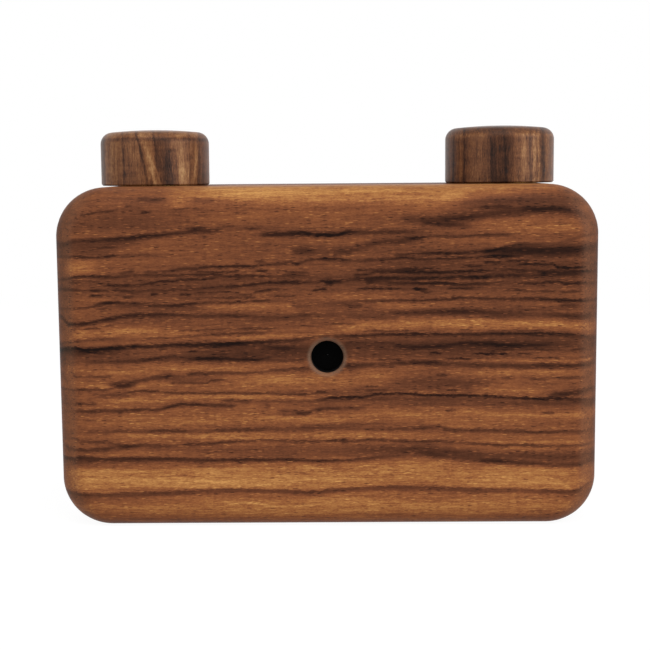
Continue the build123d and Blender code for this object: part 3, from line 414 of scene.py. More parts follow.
        (-43.7, .55, 18), (-43, .7, 0), (-42.4, 1, 12), (-41.2, 1, 12), (-40.6, 1, 0),
        (-28.8, 0, 0), (-28, .05, 20), (-24, .15, 16), (-18, .3, 12), (-14, .35, 20),
        (-10.5, .4, 18), (-9, .5, 4), (-4.2, .8, 12), (-1.4, .8, 12), (0, 1, 4), (2.6, 1.2, 18),
        (5, 1.25, 18), (6, 1.3, 0)]),
    (38, .2, .24, [(6.5, .7, 0), (8, .7, 24), (11, .7, 24), (12.6, .75, 22), (15.4, .7, 16),
        (17, .7, 0), (24.8, .9, 0), (25.8, .9, 20), (27.8, .85, 16), (28.6, .8, 0), (30, .5, 0),
        (31, .5, 14), (36, .7, 8), (37.2, .6, 20), (41.2, .6, 16), (42, .6, 0)]),
    (37, .32, .4, [(-52, -.7, 8), (-48.6, .1, 18), (-46, .4, 14), (-43.5, .6, 24),
        (-41.6, .6, 22), (-38, .5, 8), (-35.1, .5, 12), (-33.5, .7, 22), (-30, .6, 12),
        (-28, .9, 18), (-25, 1, 20), (-22, 1.3, 20), (-18, 1.45, 24), (-12.2, 1.4, 18),
        (-10, 1.6, 5), (-6, 1.6, 12), (-3, 1.6, 10), (-1, 1.7, 0)]),
    (37, .25, .6, [(-22, -.4, 0), (-19, -.4, 16), (-15, -.2, 24), (-9, 0, 26), (-5, .25, 26),
        (-3.5, .6, 18), (0, .95, 18), (3, .85, 22), (5, .9, 30), (7, 1, 24), (10, 1.15, 28),
        (15, 1.1, 30), (19, 1.1, 26), (31, 1.1, 22), (35, 1.2, 28), (40, 1.05, 26), (45, 1, 24),
        (48, .75, 20), (50, .4, 12), (52.5, 0, 5)]),
    (35, .5, .6, [(-52, .2, 16), (-48.5, .7, 30), (-46.4, .4, 36), (-44, .5, 32),
        (-40.6, .8, 32), (-37, 1.1, 34), (-34.6, 1.1, 30), (-29.6, 1.25, 34), (-24.6, 1.3, 32),
        (-18, 1.3, 28), (-14, 1.3, 10), (-8, .5, 14), (-4.5, .5, 0), (3.2, 1.3, 0), (4, 1.4, 12),
        (12, 1.45, 10), (14, .7, 10), (18, .6, 14), (22, .7, 12), (27, 1.3, 14), (31, 1.2, 18),
        (35, .7, 20), (38, .9, 16), (42, .9, 10), (48, 1.2, 0)]),
    (35, .9, 1.1, [(-52, 0, 10), (-47, -.1, 16), (-42, 0, 14), (-38, .3, 8), (-35, .6, 0)]),
    (35, .25, .28, [(-32.6, .3, 0), (-32, .35, 20), (-31.2, .4, 16), (-30.6, .4, 0),
        (-26.6, .1, 0), (-26, .1, 26), (-25.2, .1, 24), (-24.7, .1, 0), (30.8, -.2, 0),
        (32, -.2, 18), (34, -.15, 16), (37, 0, 4), (40.5, -.1, 14), (44.5, -.1, 12),
        (46, -.1, 4), (47.6, -.05, 16), (50, 0, 0)]),
    (34, .25, .28, [(19.5, .4, 0), (20.2, .35, 26), (21.6, .35, 22), (22.2, .3, 0),
        (27.5, .2, 0), (28.5, .2, 24), (31, .25, 30), (34.3, .15, 26), (35, .1, 0),
        (36.3, .1, 0), (37, .15, 24), (39, .1, 20), (39.6, .1, 0)]),
    (33, .4, .5, [(-47.5, 0, 0), (-46, 0, 12), (-41, .1, 14), (-36, .3, 16), (-34.6, .4, 22),
        (-32.6, .7, 22), (-30.6, 1, 20), (-28.5, .9, 8), (-26, .5, 12), (-24.6, .5, 26),
        (-22, .55, 28), (-18, .4, 20), (-16, .3, 28), (-13.3, .3, 26), (-12, .5, 10),
        (-9, .1, 14), (-5, .1, 16), (-4, .1, 0)]),
    (33, .22, .26, [(9.5, .2, 0), (10.4, .2, 24), (13.8, .2, 24), (14.5, .2, 0), (22, .3, 0),
        (23, .35, 26), (25, .3, 28), (27.3, .2, 22), (28, .2, 0), (39.4, .2, 0), (40.4, .3, 16),
        (43.9, .3, 16), (45, .3, 0)]),
    (32, .6, .7, [(2.4, 0, 0), (4, 0, 26), (7, .15, 22), (10, .2, 20), (14, .4, 22),
        (17, .6, 26), (20, .5, 30), (22, .3, 24), (26, .2, 20), (28, .1, 24), (31, -.1, 22),
        (35, -.1, 24), (38, -.3, 24), (42, -.2, 30), (46, -.2, 30), (49.5, -.1, 24), (52.5, 0, 5)]),
    (30, .4, .5, [(-27.4, .6, 0), (-26.4, .7, 22), (-22, .8, 20), (-14.5, .7, 18), (-12, .9, 16),
        (-10, 1.2, 20), (-6, 1.4, 22), (-3.8, 1.45, 20), (-2.6, 1.4, 0)]),
    (29, .3, .4, [(-49.5, 1.2, 0), (-48.6, 1.3, 20), (-47, 1.3, 16), (-46, 1.2, 16),
        (-44, 1.2, 22), (-42, 1.25, 18), (-41, 1.3, 0), (20.6, 1.2, 0), (21.2, 1.2, 22),
        (22.6, 1.1, 20), (23.6, 1, 0), (33, .5, 0), (33.6, .5, 24), (35.3, .5, 22), (36, .4, 6),
        (38.4, .4, 12), (40, .3, 24), (41.4, .3, 18), (42.6, .5, 14), (46, .4, 22),
        (47.8, .45, 22), (51, .5, 0)]),
    (29, .5, .6, [(-42, -.2, 0), (-40.5, 0, 16), (-38, .2, 20), (-35.5, .5, 22), (-34, .8, 24),
        (-31, 1.1, 26), (-29.5, 1.2, 12), (-28, 1.2, 0)]),
    (28, .6, .65, [(-42.6, .5, 0), (-41.5, .5, 26), (-39.5, .35, 40), (-37.8, .6, 32),
        (-36.8, .8, 10), (-36, 1, 0)]),
    (28, .3, .3, [(-30.6, .8, 0), (-29.8, .8, 20), (-26, .75, 20), (-23.4, .75, 18),
        (-22.4, 1.3, 20), (-20, 1.35, 16), (-19, 1.4, 0)]),
    (27, .28, .35, [(-52, .6, 14), (-49, .6, 20), (-47.8, .75, 34), (-46.7, .65, 26),
        (-45, .7, 28), (-43, .65, 24), (-41.8, .7, 12), (-40.5, .4, 3), (-38.6, .2, 14),
        (-36, .35, 26), (-33, .25, 28), (-31, .05, 22), (-28, -.1, 24), (-24, -.15, 26),
        (-19, -.2, 26), (-17, -.25, 18), (-13, -.2, 24), (-11.5, -.2, 16), (-9, -.4, 20),
        (-5, -.5, 24), (-2.6, -.4, 10), (-2, -.1, 20), (0, -.05, 18), (.8, -.1, 0), (7, .2, 0),
        (8, .2, 16), (11, .2, 12), (12, .2, 0)]),
    (26, .6, .7, [(-46, .6, 0), (-44.5, .6, 12), (-41, .5, 14), (-38, .7, 12), (-36, .8, 0)]),
    (27, .22, .22, [(7, 1, 0), (7.8, 1.05, 24), (9.5, 1.05, 22), (10.2, 1, 0), (22.6, .1, 0),
        (23.4, .1, 24), (24.6, .1, 22), (25.4, 0, 0)]),
    (25, .3, .4, [(-49.2, -.2, 0), (-48.5, -.2, 16), (-45, -.15, 14), (-44.2, -.1, 0),
        (-20.4, .4, 0), (-19.4, .4, 26), (-16.4, .35, 26), (-14, .2, 14), (-10, .2, 14),
        (-5, .2, 16), (-2.5, .25, 20), (-1, .5, 26), (.5, .85, 32), (3, .9, 30), (6.5, 1, 32),
        (8, 1.25, 30), (10.4, 1.5, 34), (14, 1.5, 32), (17, 1.4, 36), (19, 1.2, 38),
        (22, 1.15, 40), (26, 1.1, 38), (30, .95, 38), (35, .65, 36), (40, .45, 38), (43, .4, 34),
        (46, .35, 30), (49, .2, 20), (52.5, 0, 4)]),
    (24, .5, 1.4, [(-14, .8, 4), (-2, .9, 8), (1, 1.4, 16), (8, 1.6, 14), (20, 1.4, 16),
        (30, 1.2, 14), (47, .8, 12), (52, .8, 4)]),
    (26, .7, .9, [(42, -.2, 0), (43.5, .1, 24), (46, .3, 30), (48, .6, 26), (49.5, .9, 18),
        (52.5, 1.2, 6)]),
    (24, .5, .5, [(-50.5, -.4, 0), (-48, -.55, 24), (-44.6, -.6, 30), (-42, -.6, 24),
        (-40, -.6, 28), (-37, -.45, 30), (-35, -.3, 24), (-33.2, -.4, 26), (-31.4, 0, 28),
        (-30, .4, 34), (-28, .7, 30), (-25.9, .5, 34), (-22, .45, 26), (-19, .35, 28),
        (-16.8, .3, 0), (-12.6, .3, 0), (-12, .3, 18), (-11.2, .3, 16), (-10.8, .3, 0)]),
    (23, .5, .6, [(-10, .5, 0), (-8.8, .4, 16), (-6.6, .4, 14), (-5.5, -.05, 24),
        (-3.8, -.05, 26), (-2.8, .3, 16), (-1.8, .5, 28), (1.4, .65, 28), (3, .7, 18),
        (6.8, .75, 14), (7.8, .7, 0)]),
    (22, .5, .5, [(-9, .5, 0), (-8.4, .5, 14), (-5.8, .6, 14), (-3, .6, 0)]),
    (22, .32, .32, [(22.6, 1.2, 0), (23.2, 1.2, 26), (24.4, 1.2, 26), (24.9, 1.2, 0),
        (41, .6, 0), (41.7, .6, 26), (43.5, .6, 24), (44, .6, 0), (49.4, .5, 0), (49.8, .5, 20),
        (50.2, .5, 0)]),
    (21, .2, .25, [(-50, .9, 0), (-49.5, .85, 10), (-44.6, .5, 10), (-41.6, .3, 10),
        (-36, .4, 8), (-29, .4, 0)]),
    (20, .6, .6, [(-8, .1, 0), (-5, .3, 8), (4, .6, 12), (8, .8, 14), (12, .8, 10), (16, .9, 6),
        (18, 1, 10), (19, 1, 0)]),
    (19, .45, .55, [(-47.5, .3, 0), (-46, .3, 16), (-43, .2, 14), (-40.6, .4, 20), (-36, .4, 16),
        (-34, .45, 26), (-30, .5, 30), (-28, .5, 28), (-26.5, .4, 16), (-23, .4, 12),
        (-21.6, .65, 22), (-18, .7, 28), (-14, .6, 26), (-11, .8, 16), (-5, .8, 14), (0, .8, 16),
        (5, .85, 12), (9, .8, 12), (12, .65, 16), (16, .7, 20), (19, .85, 26), (21.4, .85, 20),
        (23, .4, 24), (34, .15, 22), (38, -.05, 22), (42, -.15, 24), (46, -.05, 20),
        (48.4, -.05, 16), (52, -.1, 4)]),
    (17, .32, .42, [(-50, 1.2, 0), (-49, 1, 8), (-48, .55, 16), (-45, .35, 18), (-42.5, .2, 14),
        (-40, -.3, 20), (-38.6, -.4, 24), (-36, -.2, 18), (-31, -.5, 16), (-29.6, -.4, 6),
        (-28, -.3, 10), (-27, -.2, 24), (-23, -.15, 28), (-21, .1, 26), (-18, .35, 30),
        (-16, .5, 22), (-12, .6, 24), (-9, .45, 24), (-5, .35, 26), (-3, .15, 24), (-1, .3, 20),
        (.5, .4, 32), (2.6, .45, 32), (5, .25, 20), (9, .5, 24), (13, .35, 22), (16, .2, 26),
        (20, .15, 28), (23, 0, 22), (26, -.2, 18), (28.5, -.45, 22), (31, -.55, 30),
        (34, -.8, 30), (37, -.7, 24), (45, -.9, 24), (49, -.8, 20), (52, -.5, 6)]),
    (16, .5, .6, [(-52, .5, 8), (-49.5, -.05, 20), (-47, -.3, 24), (-44.5, 0, 24), (-41, .2, 22),
        (-38.6, .3, 16), (-36, .2, 8), (-33, .1, 10), (-28, .2, 0)]),
    (14, .3, .3, [(-49.4, .4, 0), (-48.4, .4, 24), (-46, .4, 24), (-45.2, .4, 0)]),
    (13, .3, .65, [(-52.5, 1.1, 10), (-50, 1.1, 24), (-46, 1.05, 26), (-40, 1.05, 32),
        (-33, 1.05, 32), (-29.6, 1, 28), (-26, .8, 24), (-21, .7, 28), (-18, .8, 32),
        (-15, .75, 28), (-9, .75, 28), (-5, .65, 30), (-2, .5, 36), (2.3, .5, 34), (5, .65, 28),
        (8, .9, 26), (10, 1.1, 18), (16, 1.4, 0)]),
    (13, .7, 1.1, [(-52, .4, 10), (-48, .2, 20), (-42, .2, 18), (-36, .3, 16), (-28, .4, 12),
        (-20, .4, 10), (-8, .4, 4), (-4, .4, 0)]),
    (12, .7, .6, [(17, 2.6, 0), (20, 2.4, 14), (24, 1.7, 16), (28, 1.4, 18), (31, 1.2, 28),
        (33, 1.1, 28), (36, .8, 24), (40, .5, 24), (45, .3, 24), (49, .5, 18), (52.5, .9, 4)]),
    (7, .3, .9, [(-52, .6, 5), (-49, .1, 14), (-44, .05, 16), (-39, .1, 16), (-36, .2, 20),
        (-33, .3, 26), (-28, .4, 26), (-24.6, .7, 26), (-20, .85, 28), (-15, .75, 28),
        (-11.4, .7, 24), (-8, .5, 22), (-5.7, .3, 26), (-2, .3, 30), (0, .7, 28), (4, .85, 26),
        (8, 1.05, 26), (14, 1.15, 28), (24, .9, 26), (30, .7, 24), (37, .6, 24), (41, .4, 26),
        (46, .25, 30), (48.5, .5, 24), (50, 1.2, 18), (52, 1.6, 6)]),
    # Short bright flecks in the golden wood at the bottom
    (11, .16, .16, [(-9.6, 1.05, 0), (-9.2, 1.05, -16), (-1, 1, -14), (-.5, 1, 0), (10, .2, 0),
        (10.5, .2, -14), (12.4, .2, -12), (12.8, .2, 0), (32, .8, 0), (32.5, .8, -14),
        (34, .8, -12), (34.5, .8, 0)]),
    (4, .2, .2, [(-16, 1.15, 0), (-15.6, 1.15, -20), (-13.4, 1.15, -16), (-13, 1.1, 0),
        (-12.8, .45, 0), (-12.4, .45, -10), (-10, .4, -14), (-8, .4, -12), (-7.6, .4, 0),
        (-6.6, .5, 0), (-6.2, .5, -12), (-2.8, .5, -10), (-2.4, .5, 0), (4.6, 1.2, 0),
        (5.2, 1.1, -14), (6.2, .8, 0)]),
    (8, .28, .3, [(-49, 2, 0), (-47.4, 2.1, -12), (-45, 2, -10), (-44.4, 2, 0), (-33.8, 2.1, 0),
        (-33.4, 2, -12), (-32.2, 2, -8), (-29.8, 1.4, 0), (-29.4, 1.4, -12), (-25, 1.6, -12),
        (-22, 1.3, -12), (-19, 1.4, -14), (-16, 1.3, 0), (-14.4, .75, 0), (-14, .75, -10),
        (-11.2, .8, -10), (-10.8, .8, 0), (-8.4, .6, 0), (-8, .6, -14), (-7.4, .6, 0)]),
]


def course(tree, along, values):
    """A curve through points of place and value, flat past its ends."""
    node = add(tree, "ShaderNodeFloatCurve", Value=along)
    mapping = node.mapping
    mapping.use_clip = False
    mapping.extend = "HORIZONTAL"
    points = mapping.curves[0].points
    while len(points) < len(values):
        points.new(0, 0)
    for point, (place_along, value) in zip(points, values):
        point.location = (place_along, value)
        point.handle_type = "AUTO_CLAMPED"
    mapping.update()
    return node.outputs[0]


def figure(name, lines, soft):
    """A shader group that adds up how dark all the grain lines are, their reach times soft."""
    tree, given, gives = group(name, "NodeSocketFloat", ["Along", "Level"], ["Darkness"])
    darkness = 0.0
    for level, above, below, points in lines:
        middle = course(tree, given["Along"], [(x, level + rise) for x, rise, dark in points])
        strength = course(tree, given["Along"], [(x, dark / 100) for x, rise, dark in points])
        offset = calc(tree, "SUBTRACT", given["Level"], middle)
        upper = fade(tree, offset, above * soft, 0)
        lower = fade(tree, offset, -below * soft, 0)
        band = calc(tree, "MULTIPLY", upper, lower)
        darkness = calc(tree, "MULTIPLY_ADD", band, strength, darkness)
    feed(tree, gives["Darkness"], darkness)
    return tree


def toned(tree, plain, dark, wood, streaks, strengths):
    """The wood's tone: a plain tone less its grain lines, stirred by fibres, mottle and marks."""
    in_fibres, throughout = streaks
    share = calc(tree, "MULTIPLY_ADD", wood["Fibre"], in_fibres, throughout)
    tone = calc(tree, "SUBTRACT", plain, calc(tree, "MULTIPLY", dark, share))
    fibre, mottle, pore, fleck = strengths
    tone = sway(tree, tone, wood["Fibre"], fibre)
    tone = sway(tree, tone, wood["Mottle"], mottle)
    tone = calc(tree, "MULTIPLY_ADD", wood["Pore"], pore, tone)
    return calc(tree, "MULTIPLY_ADD", wood["Fleck"], fleck, tone)


line_group = figure("walnut grain lines", grain_lines, 1.4)

# The layers stand square to the front for a few millimetres, then lean and drift on their way to
# the back. Their lines are ragged at the edges.
oiled_roughness = 0.45
walnut, tree, shader, position = material("oiled walnut", oiled_roughness, specular=0.05)
along, depth, height = split(tree, position)
front = 1000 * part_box("front_board")[0].y
square_depth, layer_lean, layer_drift = 5.0, 0.35, 7.0
behind = calc(tree, "MAXIMUM", calc(tree, "SUBTRACT", depth, front + square_depth), 0)
drift = noise(tree, stretch(tree, position, (0.02, 0.06, 0.05)), 1)
drift = calc(tree, "MULTIPLY", calc(tree, "SUBTRACT", drift, 0.5),
             fade(tree, behind, 0, 12, 0, layer_drift))
level = calc(tree, "SUBTRACT", height, calc(tree, "MULTIPLY", behind, layer_lean))
level = calc(tree, "ADD", level, drift)
waver = noise(tree, stretch(tree, position, (0.25, 0.8, 0.8)), 2)
ragged = noise(tree, stretch(tree, position, (0.8, 5, 5), (3, 1, 9)), 2, 0.7)
lines = place(tree, line_group, Along=sway(tree, along, ragged, 1.2),
              Level=sway(tree, sway(tree, level, waver, 0.5), ragged, 1.1))
grain_position = join(tree, along, depth, level)
wood = place(tree, fibre_group, Grain_Position=grain_position)
rings = noise(tree, stretch(tree, grain_position, (0.012, 0.03, 0.5), (0, 0, 17)), 3, 0.6)
plain_tone = sway(tree, 0.56, rings, fade(tree, behind, 0, 3, 0.25, 0.6))
tone = toned(tree, plain_tone, lines["Darkness"], wood, (1.7, 0.1), (0.8, 0.12, -0.2, 0.18))

# The wood is darker where the surface turns towards the ends, partly as end grain that takes more
# oil and partly as painted shade on the rounded side edges, and the edge of the joint between block
# and back is darker too.
surface_normal = tree.nodes.new("ShaderNodeTexCoord").outputs["Normal"]
turned_away = calc(tree, "ABSOLUTE", split(tree, surface_normal)[0])
cover_front = 1000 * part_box("back_cover")[0].y
seam_reach = 0.35
seam = within(tree, depth, cover_front - seam_reach, cover_front + seam_reach)
# Darker as the surface turns towards either end: end grain together with painted shade on the
# rounded side edges.
tone = calc(tree, "MULTIPLY_ADD", calc(tree, "POWER", turned_away, 2), -0.13, tone)
tone = calc(tree, "MULTIPLY_ADD", seam, -0.16, tone)
colour = tones(tree, tone, [
    (0.1, (24, 13, 9)), (0.22, (50, 28, 19)), (0.33, (76, 44, 29)), (0.44, (98, 58, 38)),
    (0.54, (118, 70, 44)), (0.62, (134, 81, 49)), (0.73, (156, 101, 58)), (1.0, (202, 148, 86))])

# The rounded ends are paler and greyer from a painted sheen, and the hole's rim gets a painted
# highlight.
# The colour of the painted sheen on the rounded ends and of the painted highlight on the hole's
# rim.
sheen_colour = srgb(126, 102, 84)
painted_sheen = calc(tree, "MULTIPLY", fade(tree, turned_away, 0.1, 0.45),
            fade(tree, turned_away, 0.95, 0.65))
painted_sheen = calc(tree, "MULTIPLY", painted_sheen, calc(tree, "MULTIPLY_ADD", ragged, 0.24, 0.02))
painted_sheen = calc(tree, "MULTIPLY", painted_sheen, calc(tree, "SUBTRACT", 1, seam))
rim_inside, rim_middle, rim_outside, rim_depth = 3.0, 3.4, 4.2, 1.5
disc_low, disc_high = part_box("pinhole_disc")
from_hole = distance(tree, along, calc(tree, "SUBTRACT", height, 500 * (disc_low.z + disc_high.z)))
# Painted highlight: a pale ring on the rounded rim of the front hole, strongest towards its inner
# edge.
rim_highlight = calc(tree, "MULTIPLY", within(tree, from_hole, rim_inside, rim_outside),
           fade(tree, from_hole, rim_outside, rim_middle))
rim_highlight = calc(tree, "MULTIPLY", rim_highlight, calc(tree, "LESS_THAN", depth, front + rim_depth))
painted_sheen = calc(tree, "MULTIPLY_ADD", rim_highlight, calc(tree, "MULTIPLY_ADD", ragged, 0.9, -0.1), painted_sheen)
# Mixes in the painted sheen and the rim's painted highlight.
colour = blend(tree, painted_sheen, colour, sheen_colour)

# Matt black paint covers the chambers, the light path and the wall of the front hole.
black_paint = srgb(16, 16, 17)
paint_low, paint_high, paint_front, paint_back = 5.6, 57.9, front + 6.1, 14.95
chamber_x, chamber_y, chamber_reach = 35.5, 0.5, 13.15
sideways = calc(tree, "ABSOLUTE", along)
chamber = distance(tree, calc(tree, "SUBTRACT", sideways, chamber_x),
                   calc(tree, "SUBTRACT", calc(tree, "MINIMUM", depth, chamber_y), chamber_y))
painted = calc(tree, "MULTIPLY", within(tree, height, paint_low, paint_high),
               within(tree, depth, paint_front, paint_back))
painted = calc(tree, "MULTIPLY", painted, calc(
    tree, "MAXIMUM", calc(tree, "LESS_THAN", sideways, chamber_x),
    calc(tree, "LESS_THAN", chamber, chamber_reach)))
bore_radius, bore_front, bore_back = 3.2, front + 0.7, front + 6
bore = calc(tree, "MULTIPLY", calc(tree, "LESS_THAN", from_hole, bore_radius),
            within(tree, depth, bore_front, bore_back))
painted = calc(tree, "MAXIMUM", painted, bore)
feed(tree, shader.inputs["Base Color"], blend(tree, painted, colour, black_paint))
feed(tree, shader.inputs["Roughness"], calc(tree, "MULTIPLY_ADD", painted, 0.4, oiled_roughness))
wood_relief = 0.03
relief(tree, shader, wood["Height"], wood_relief)
dress(walnut, "front_board", "body_block", "back_cover")


# Knobs: each is turned from an offcut of darker walnut with the grain upright, its end grain on the
# crown. A thin band where the edge begins to round is painted shade on the left knob and a painted
# highlight on the right one, and the crown above it is painted lighter on the left and darker on
# the right. Their grain lines are as the body's, with the level across the knob from its middle and
# the course up its side.
def turned(name, knob, plain, lean, rim_shading, lines):
    """Turned walnut for one knob, with its layers at a lean."""
    low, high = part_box(knob)
    centre = 500 * (low.x + high.x)
    made, tree, shader, position = material(name, 0.36, specular=0.13)
    across, depth, height = split(tree, position)
    inwards = calc(tree, "SUBTRACT", depth, 500 * (low.y + high.y))
    level = calc(tree, "MULTIPLY_ADD", inwards, lean, calc(tree, "SUBTRACT", across, centre))
    wood = place(tree, fibre_group,
                 Grain_Position=join(tree, height, depth, calc(tree, "ADD", level, centre)))
    ragged = noise(tree, stretch(tree, position, (3.5, 3.5, 0.5), (3, 1, 9)), 3, 0.7)
    dark = place(tree, figure(name + " lines", lines, 1.15), Along=height,
                 Level=sway(tree, level, ragged, 1.2))["Darkness"]
    tone = toned(tree, plain, dark, wood, (0.8, 0.6), (0.9, 0.3, -0.14, 0.12))
    # Painted shade and highlight at the rim: the band just under it darkens by the given strength
    # and lightens where that is below zero, and the crown moves half as far the other way.
    shading_height = 1000 * high.z - 2.0
    line = calc(tree, "MULTIPLY", fade(tree, height, shading_height - 0.7, shading_height),
                fade(tree, height, shading_height + 0.5, shading_height))
    crown = fade(tree, height, shading_height, shading_height + 1.2)
    tone = calc(tree, "MULTIPLY_ADD", line, -rim_shading, tone)
    tone = calc(tree, "MULTIPLY_ADD", crown, 0.5 * rim_shading, tone)
    feed(tree, shader.inputs["Base Color"], tones(tree, tone, [
        (0.1, (26, 14, 9)), (0.25, (54, 32, 21)), (0.4, (86, 53, 34)), (0.52, (112, 71, 44)),
        (0.66, (140, 97, 62)), (1.0, (204, 164, 112))]))
    relief(tree, shader, wood["Height"], wood_relief)
    dress(made, knob)


turned("turned walnut, left", "wind_knob", 0.53, 0.14, 0.12, [
    (-11, .7, .5, [(66, .2, 20), (78, .2, 20)]),
    (-9, 1.1, 1.1, [(66, .2, -4), (70, .1, -8), (74, .4, -6), (78, .4, -2)]),
    (-7, .3, .3, [(66, .6, 16), (72, .6, 20), (76, .5, 14), (78, .5, 5)]),
    (-6, .3, .3, [(68, .4, 2), (71, .6, 10), (74, .5, 4)]),
    (-4, .4, .3, [(66, 2.4, 20), (70, 1.8, 20), (74, .9, 24), (77, .2, 20)]),
    (-3, 1, .8, [(66, 3.3, -16), (69, 2.4, -20), (72, 1.7, -18), (75, .8, -14), (78, .1, -4)]),
    (-2, .35, .35, [(67, 2.9, -16), (69, 2.4, -18), (71, 1.5, -10), (73, .7, 0)]),
    (-1, .4, .4, [(66, .1, 14), (68, .1, 12), (70, -.6, 0)]),
    (1, 2.5, 2.2, [(66, 1.4, 28), (69, 1.1, 22), (72, .9, 22), (75, .3, 14), (78, 0, 4)]),
    (2, .3, .3, [(68, 1.2, 10), (71, .9, 16), (75, .6, 6)]),
    (-1, .3, .3, [(73, 1.2, 16), (76, .8, 20), (78, .6, 10)]),
    (5, 1.7, 1.7, [(66, .6, -14), (69, .5, -20), (72, .2, -12), (75, 0, -8), (78, 0, 0)]),
    (6, .3, .35, [(67, .9, 10), (70, 1, 14), (73, .9, 8)]),
    (4, .3, .35, [(68, .4, 10), (71, .2, 14), (74, -.1, 8)]),
    (8, .35, .4, [(66, -.5, -14), (70, 0, -20), (74, .3, -18), (77, .3, -6)]),
    (8, .35, .4, [(66, .6, 18), (71, .9, 16), (76, 1, 10)]),
    (9, 1.5, 1.2, [(66, .9, 16), (72, .8, 10), (78, 1, 8)])])
turned("turned walnut, right", "rewind_knob", 0.44, -0.12, -0.06, [
    (-11, .6, .6, [(66, .4, 4), (78, .4, 6)]),
    (-8, .9, .9, [(66, .1, -12), (72, .2, -14), (78, .2, -2)]),
    (-10, .3, .35, [(66, .7, 16), (72, .8, 18), (78, .8, 8)]),
    (-8, .3, .3, [(66, .9, 20), (72, 1, 20), (78, 1, 10)]),
    (-9, .25, .25, [(66, .8, 10), (72, .9, 14), (78, 1, 4)]),
    (-5, 1.7, 1.7, [(66, .2, -10), (72, .3, -8), (78, .3, -4)]),
    (0, 3.4, 3, [(66, .2, 20), (72, 0, 20), (76, 0, 14), (78, 0, 6)]),
    (-2, .3, .3, [(66, .6, 10), (72, .5, 14), (77, .4, 0)]),
    (1, .4, .4, [(66, .5, 6), (72, .3, 10), (77, .2, 0)]),
    (-1, .3, .3, [(68, .8, -6), (72, .7, -10), (76, .6, 0)]),
    (4, 1.8, 1.5, [(66, 1, -18), (72, .8, -14), (78, .6, -6)]),
    (6, .3, .35, [(66, .3, 10), (72, .2, 12), (78, .1, 4)]),
    (6, .45, .45, [(66, 1.1, -26), (72, 1, -30), (76, .9, -18), (78, .8, -6)]),
    (7, .25, .3, [(66, .9, -18), (70, 1, -26), (74, .8, -20), (77, .8, -8)]),
    (8, .5, .5, [(66, .9, 20), (72, .8, 18), (78, .6, 10)]),
    (10, 1, 1, [(66, .2, -6), (72, .1, -6), (78, 0, -4)])])


# Pinhole, its ring, the film gate and the pressure plate: thin sheet and turned parts, blackened or
# painted so that no stray light reaches the film. The lay is how marks run on a piece: small along
# them, large across.
wear_group, given, gives = group(
    "surface wear", "NodeSocketVector", ["Position", "Lay Position"], ["Shade", "Marks"])
cloudy = stretch(wear_group, given["Position"], (0.35, 0.35, 0.35))
feed(wear_group, gives["Shade"], noise(wear_group, cloudy, 4, 0.6))
feed(wear_group, gives["Marks"], noise(wear_group, given["Lay Position"], 3, 0.7))


def finished(name, colour, roughness, metallic, lay, specular=0.5, depth=0.004):
    """A worked material: its colour, how shiny it is and the lay of its marks."""
    made, tree, shader, position = material(name, roughness, metallic, specular)
    wear = place(tree, wear_group, Position=position, Lay_Position=stretch(tree, position, lay))
    darker = tuple(0.72 * channel for channel in colour[:3]) + (1.0,)
    shade = fade(tree, sway(tree, wear["Shade"], wear["Marks"], 0.5), 0.25, 0.65)
    feed(tree, shader.inputs["Base Color"], blend(tree, shade, darker, colour))
    feed(tree, shader.inputs["Roughness"], sway(tree, roughness, wear["Marks"], 0.6 * roughness))
    relief(tree, shader, wear["Marks"], depth)
    return made


dress(finished("blackened disc", srgb(6, 6, 6), 0.9, 0.0, (2, 2, 2), 0.05), "pinhole_disc")
dress(finished("blackened ring", srgb(14, 14, 15), 0.6, 0.4, (6, 1, 6), 0.2), "pinhole_ring")
dress(finished("black satin metal", srgb(26, 26, 28), 0.45, 0.5, (0.4, 6, 6)),
      "film_gate", "pressure_plate")
dress(finished("blackened screws", srgb(34, 34, 36), 0.35, 0.8, (3, 3, 3)),
      "film_gate_screws", "panel_screws")

# Film spool, cassette seat and the panel that lines the back: moulded and cut from black plastic,
# with a fine dull grain.
dress(finished("moulded black", srgb(27, 27, 29), 0.5, 0.0, (2.5, 2.5, 2.5), depth=0.01),
      "take_up_spool", "cassette_seat", "cover_panel")

# Bushes, washers, sleeve and shutter pull: turned or filed from brass bar and left bare. The
# turned ones show rings, and the filed ones fine upright scratches.
dress(finished("turned brass", srgb(201, 160, 92), 0.26, 1.0, (0.5, 0.5, 14)), "tripod_bush",
      "wind_bush", "rewind_bush", "knob_washers", "take_up_pivot", "rewind_sleeve")
dress(finished("filed brass", srgb(201, 160, 92), 0.3, 1.0, (8, 8, 0.5)),
      "shutter_pull", "shutter_rivets")

# Shafts, clips, pins, spring and shutter blade: bright steel. The round ones are turned, and the
# flat ones are stamped from rolled sheet.
dress(finished("turned steel", srgb(196, 196, 194), 0.24, 1.0, (0.5, 0.5, 14)), "wind_shaft",
      "rewind_shaft", "spool_pin", "wind_knob_screw", "rewind_knob_screw", "shutter_stop_pin",
      "plate_guide_pins")
dress(finished("rolled steel", srgb(188, 188, 188), 0.32, 1.0, (0.4, 7, 7)), "wind_clip",
      "rewind_clip", "pressure_spring", "spring_rivets", "shutter_blade")


# Pressure spring: a bent leaf of the same steel, riveted to the panel in the back. It is the CAD
# leaf with its faces joined.
def stand(name, data):
    """A new object in the scene, from its mesh, lamp or camera."""
    made = bpy.data.objects.new(name, data)
    bpy.context.scene.collection.objects.link(made)
    return made


leaf_mesh = nodes["pressure_spring"].data.copy()
joined = bmesh.new()
joined.from_mesh(leaf_mesh)
bmesh.ops.remove_doubles(joined, verts=joined.verts, dist=1e-6)
joined.to_mesh(leaf_mesh)
joined.free()
leaf = stand("leaf_spring", leaf_mesh)
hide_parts("pressure_spring")
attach(leaf, "back")
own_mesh(leaf)

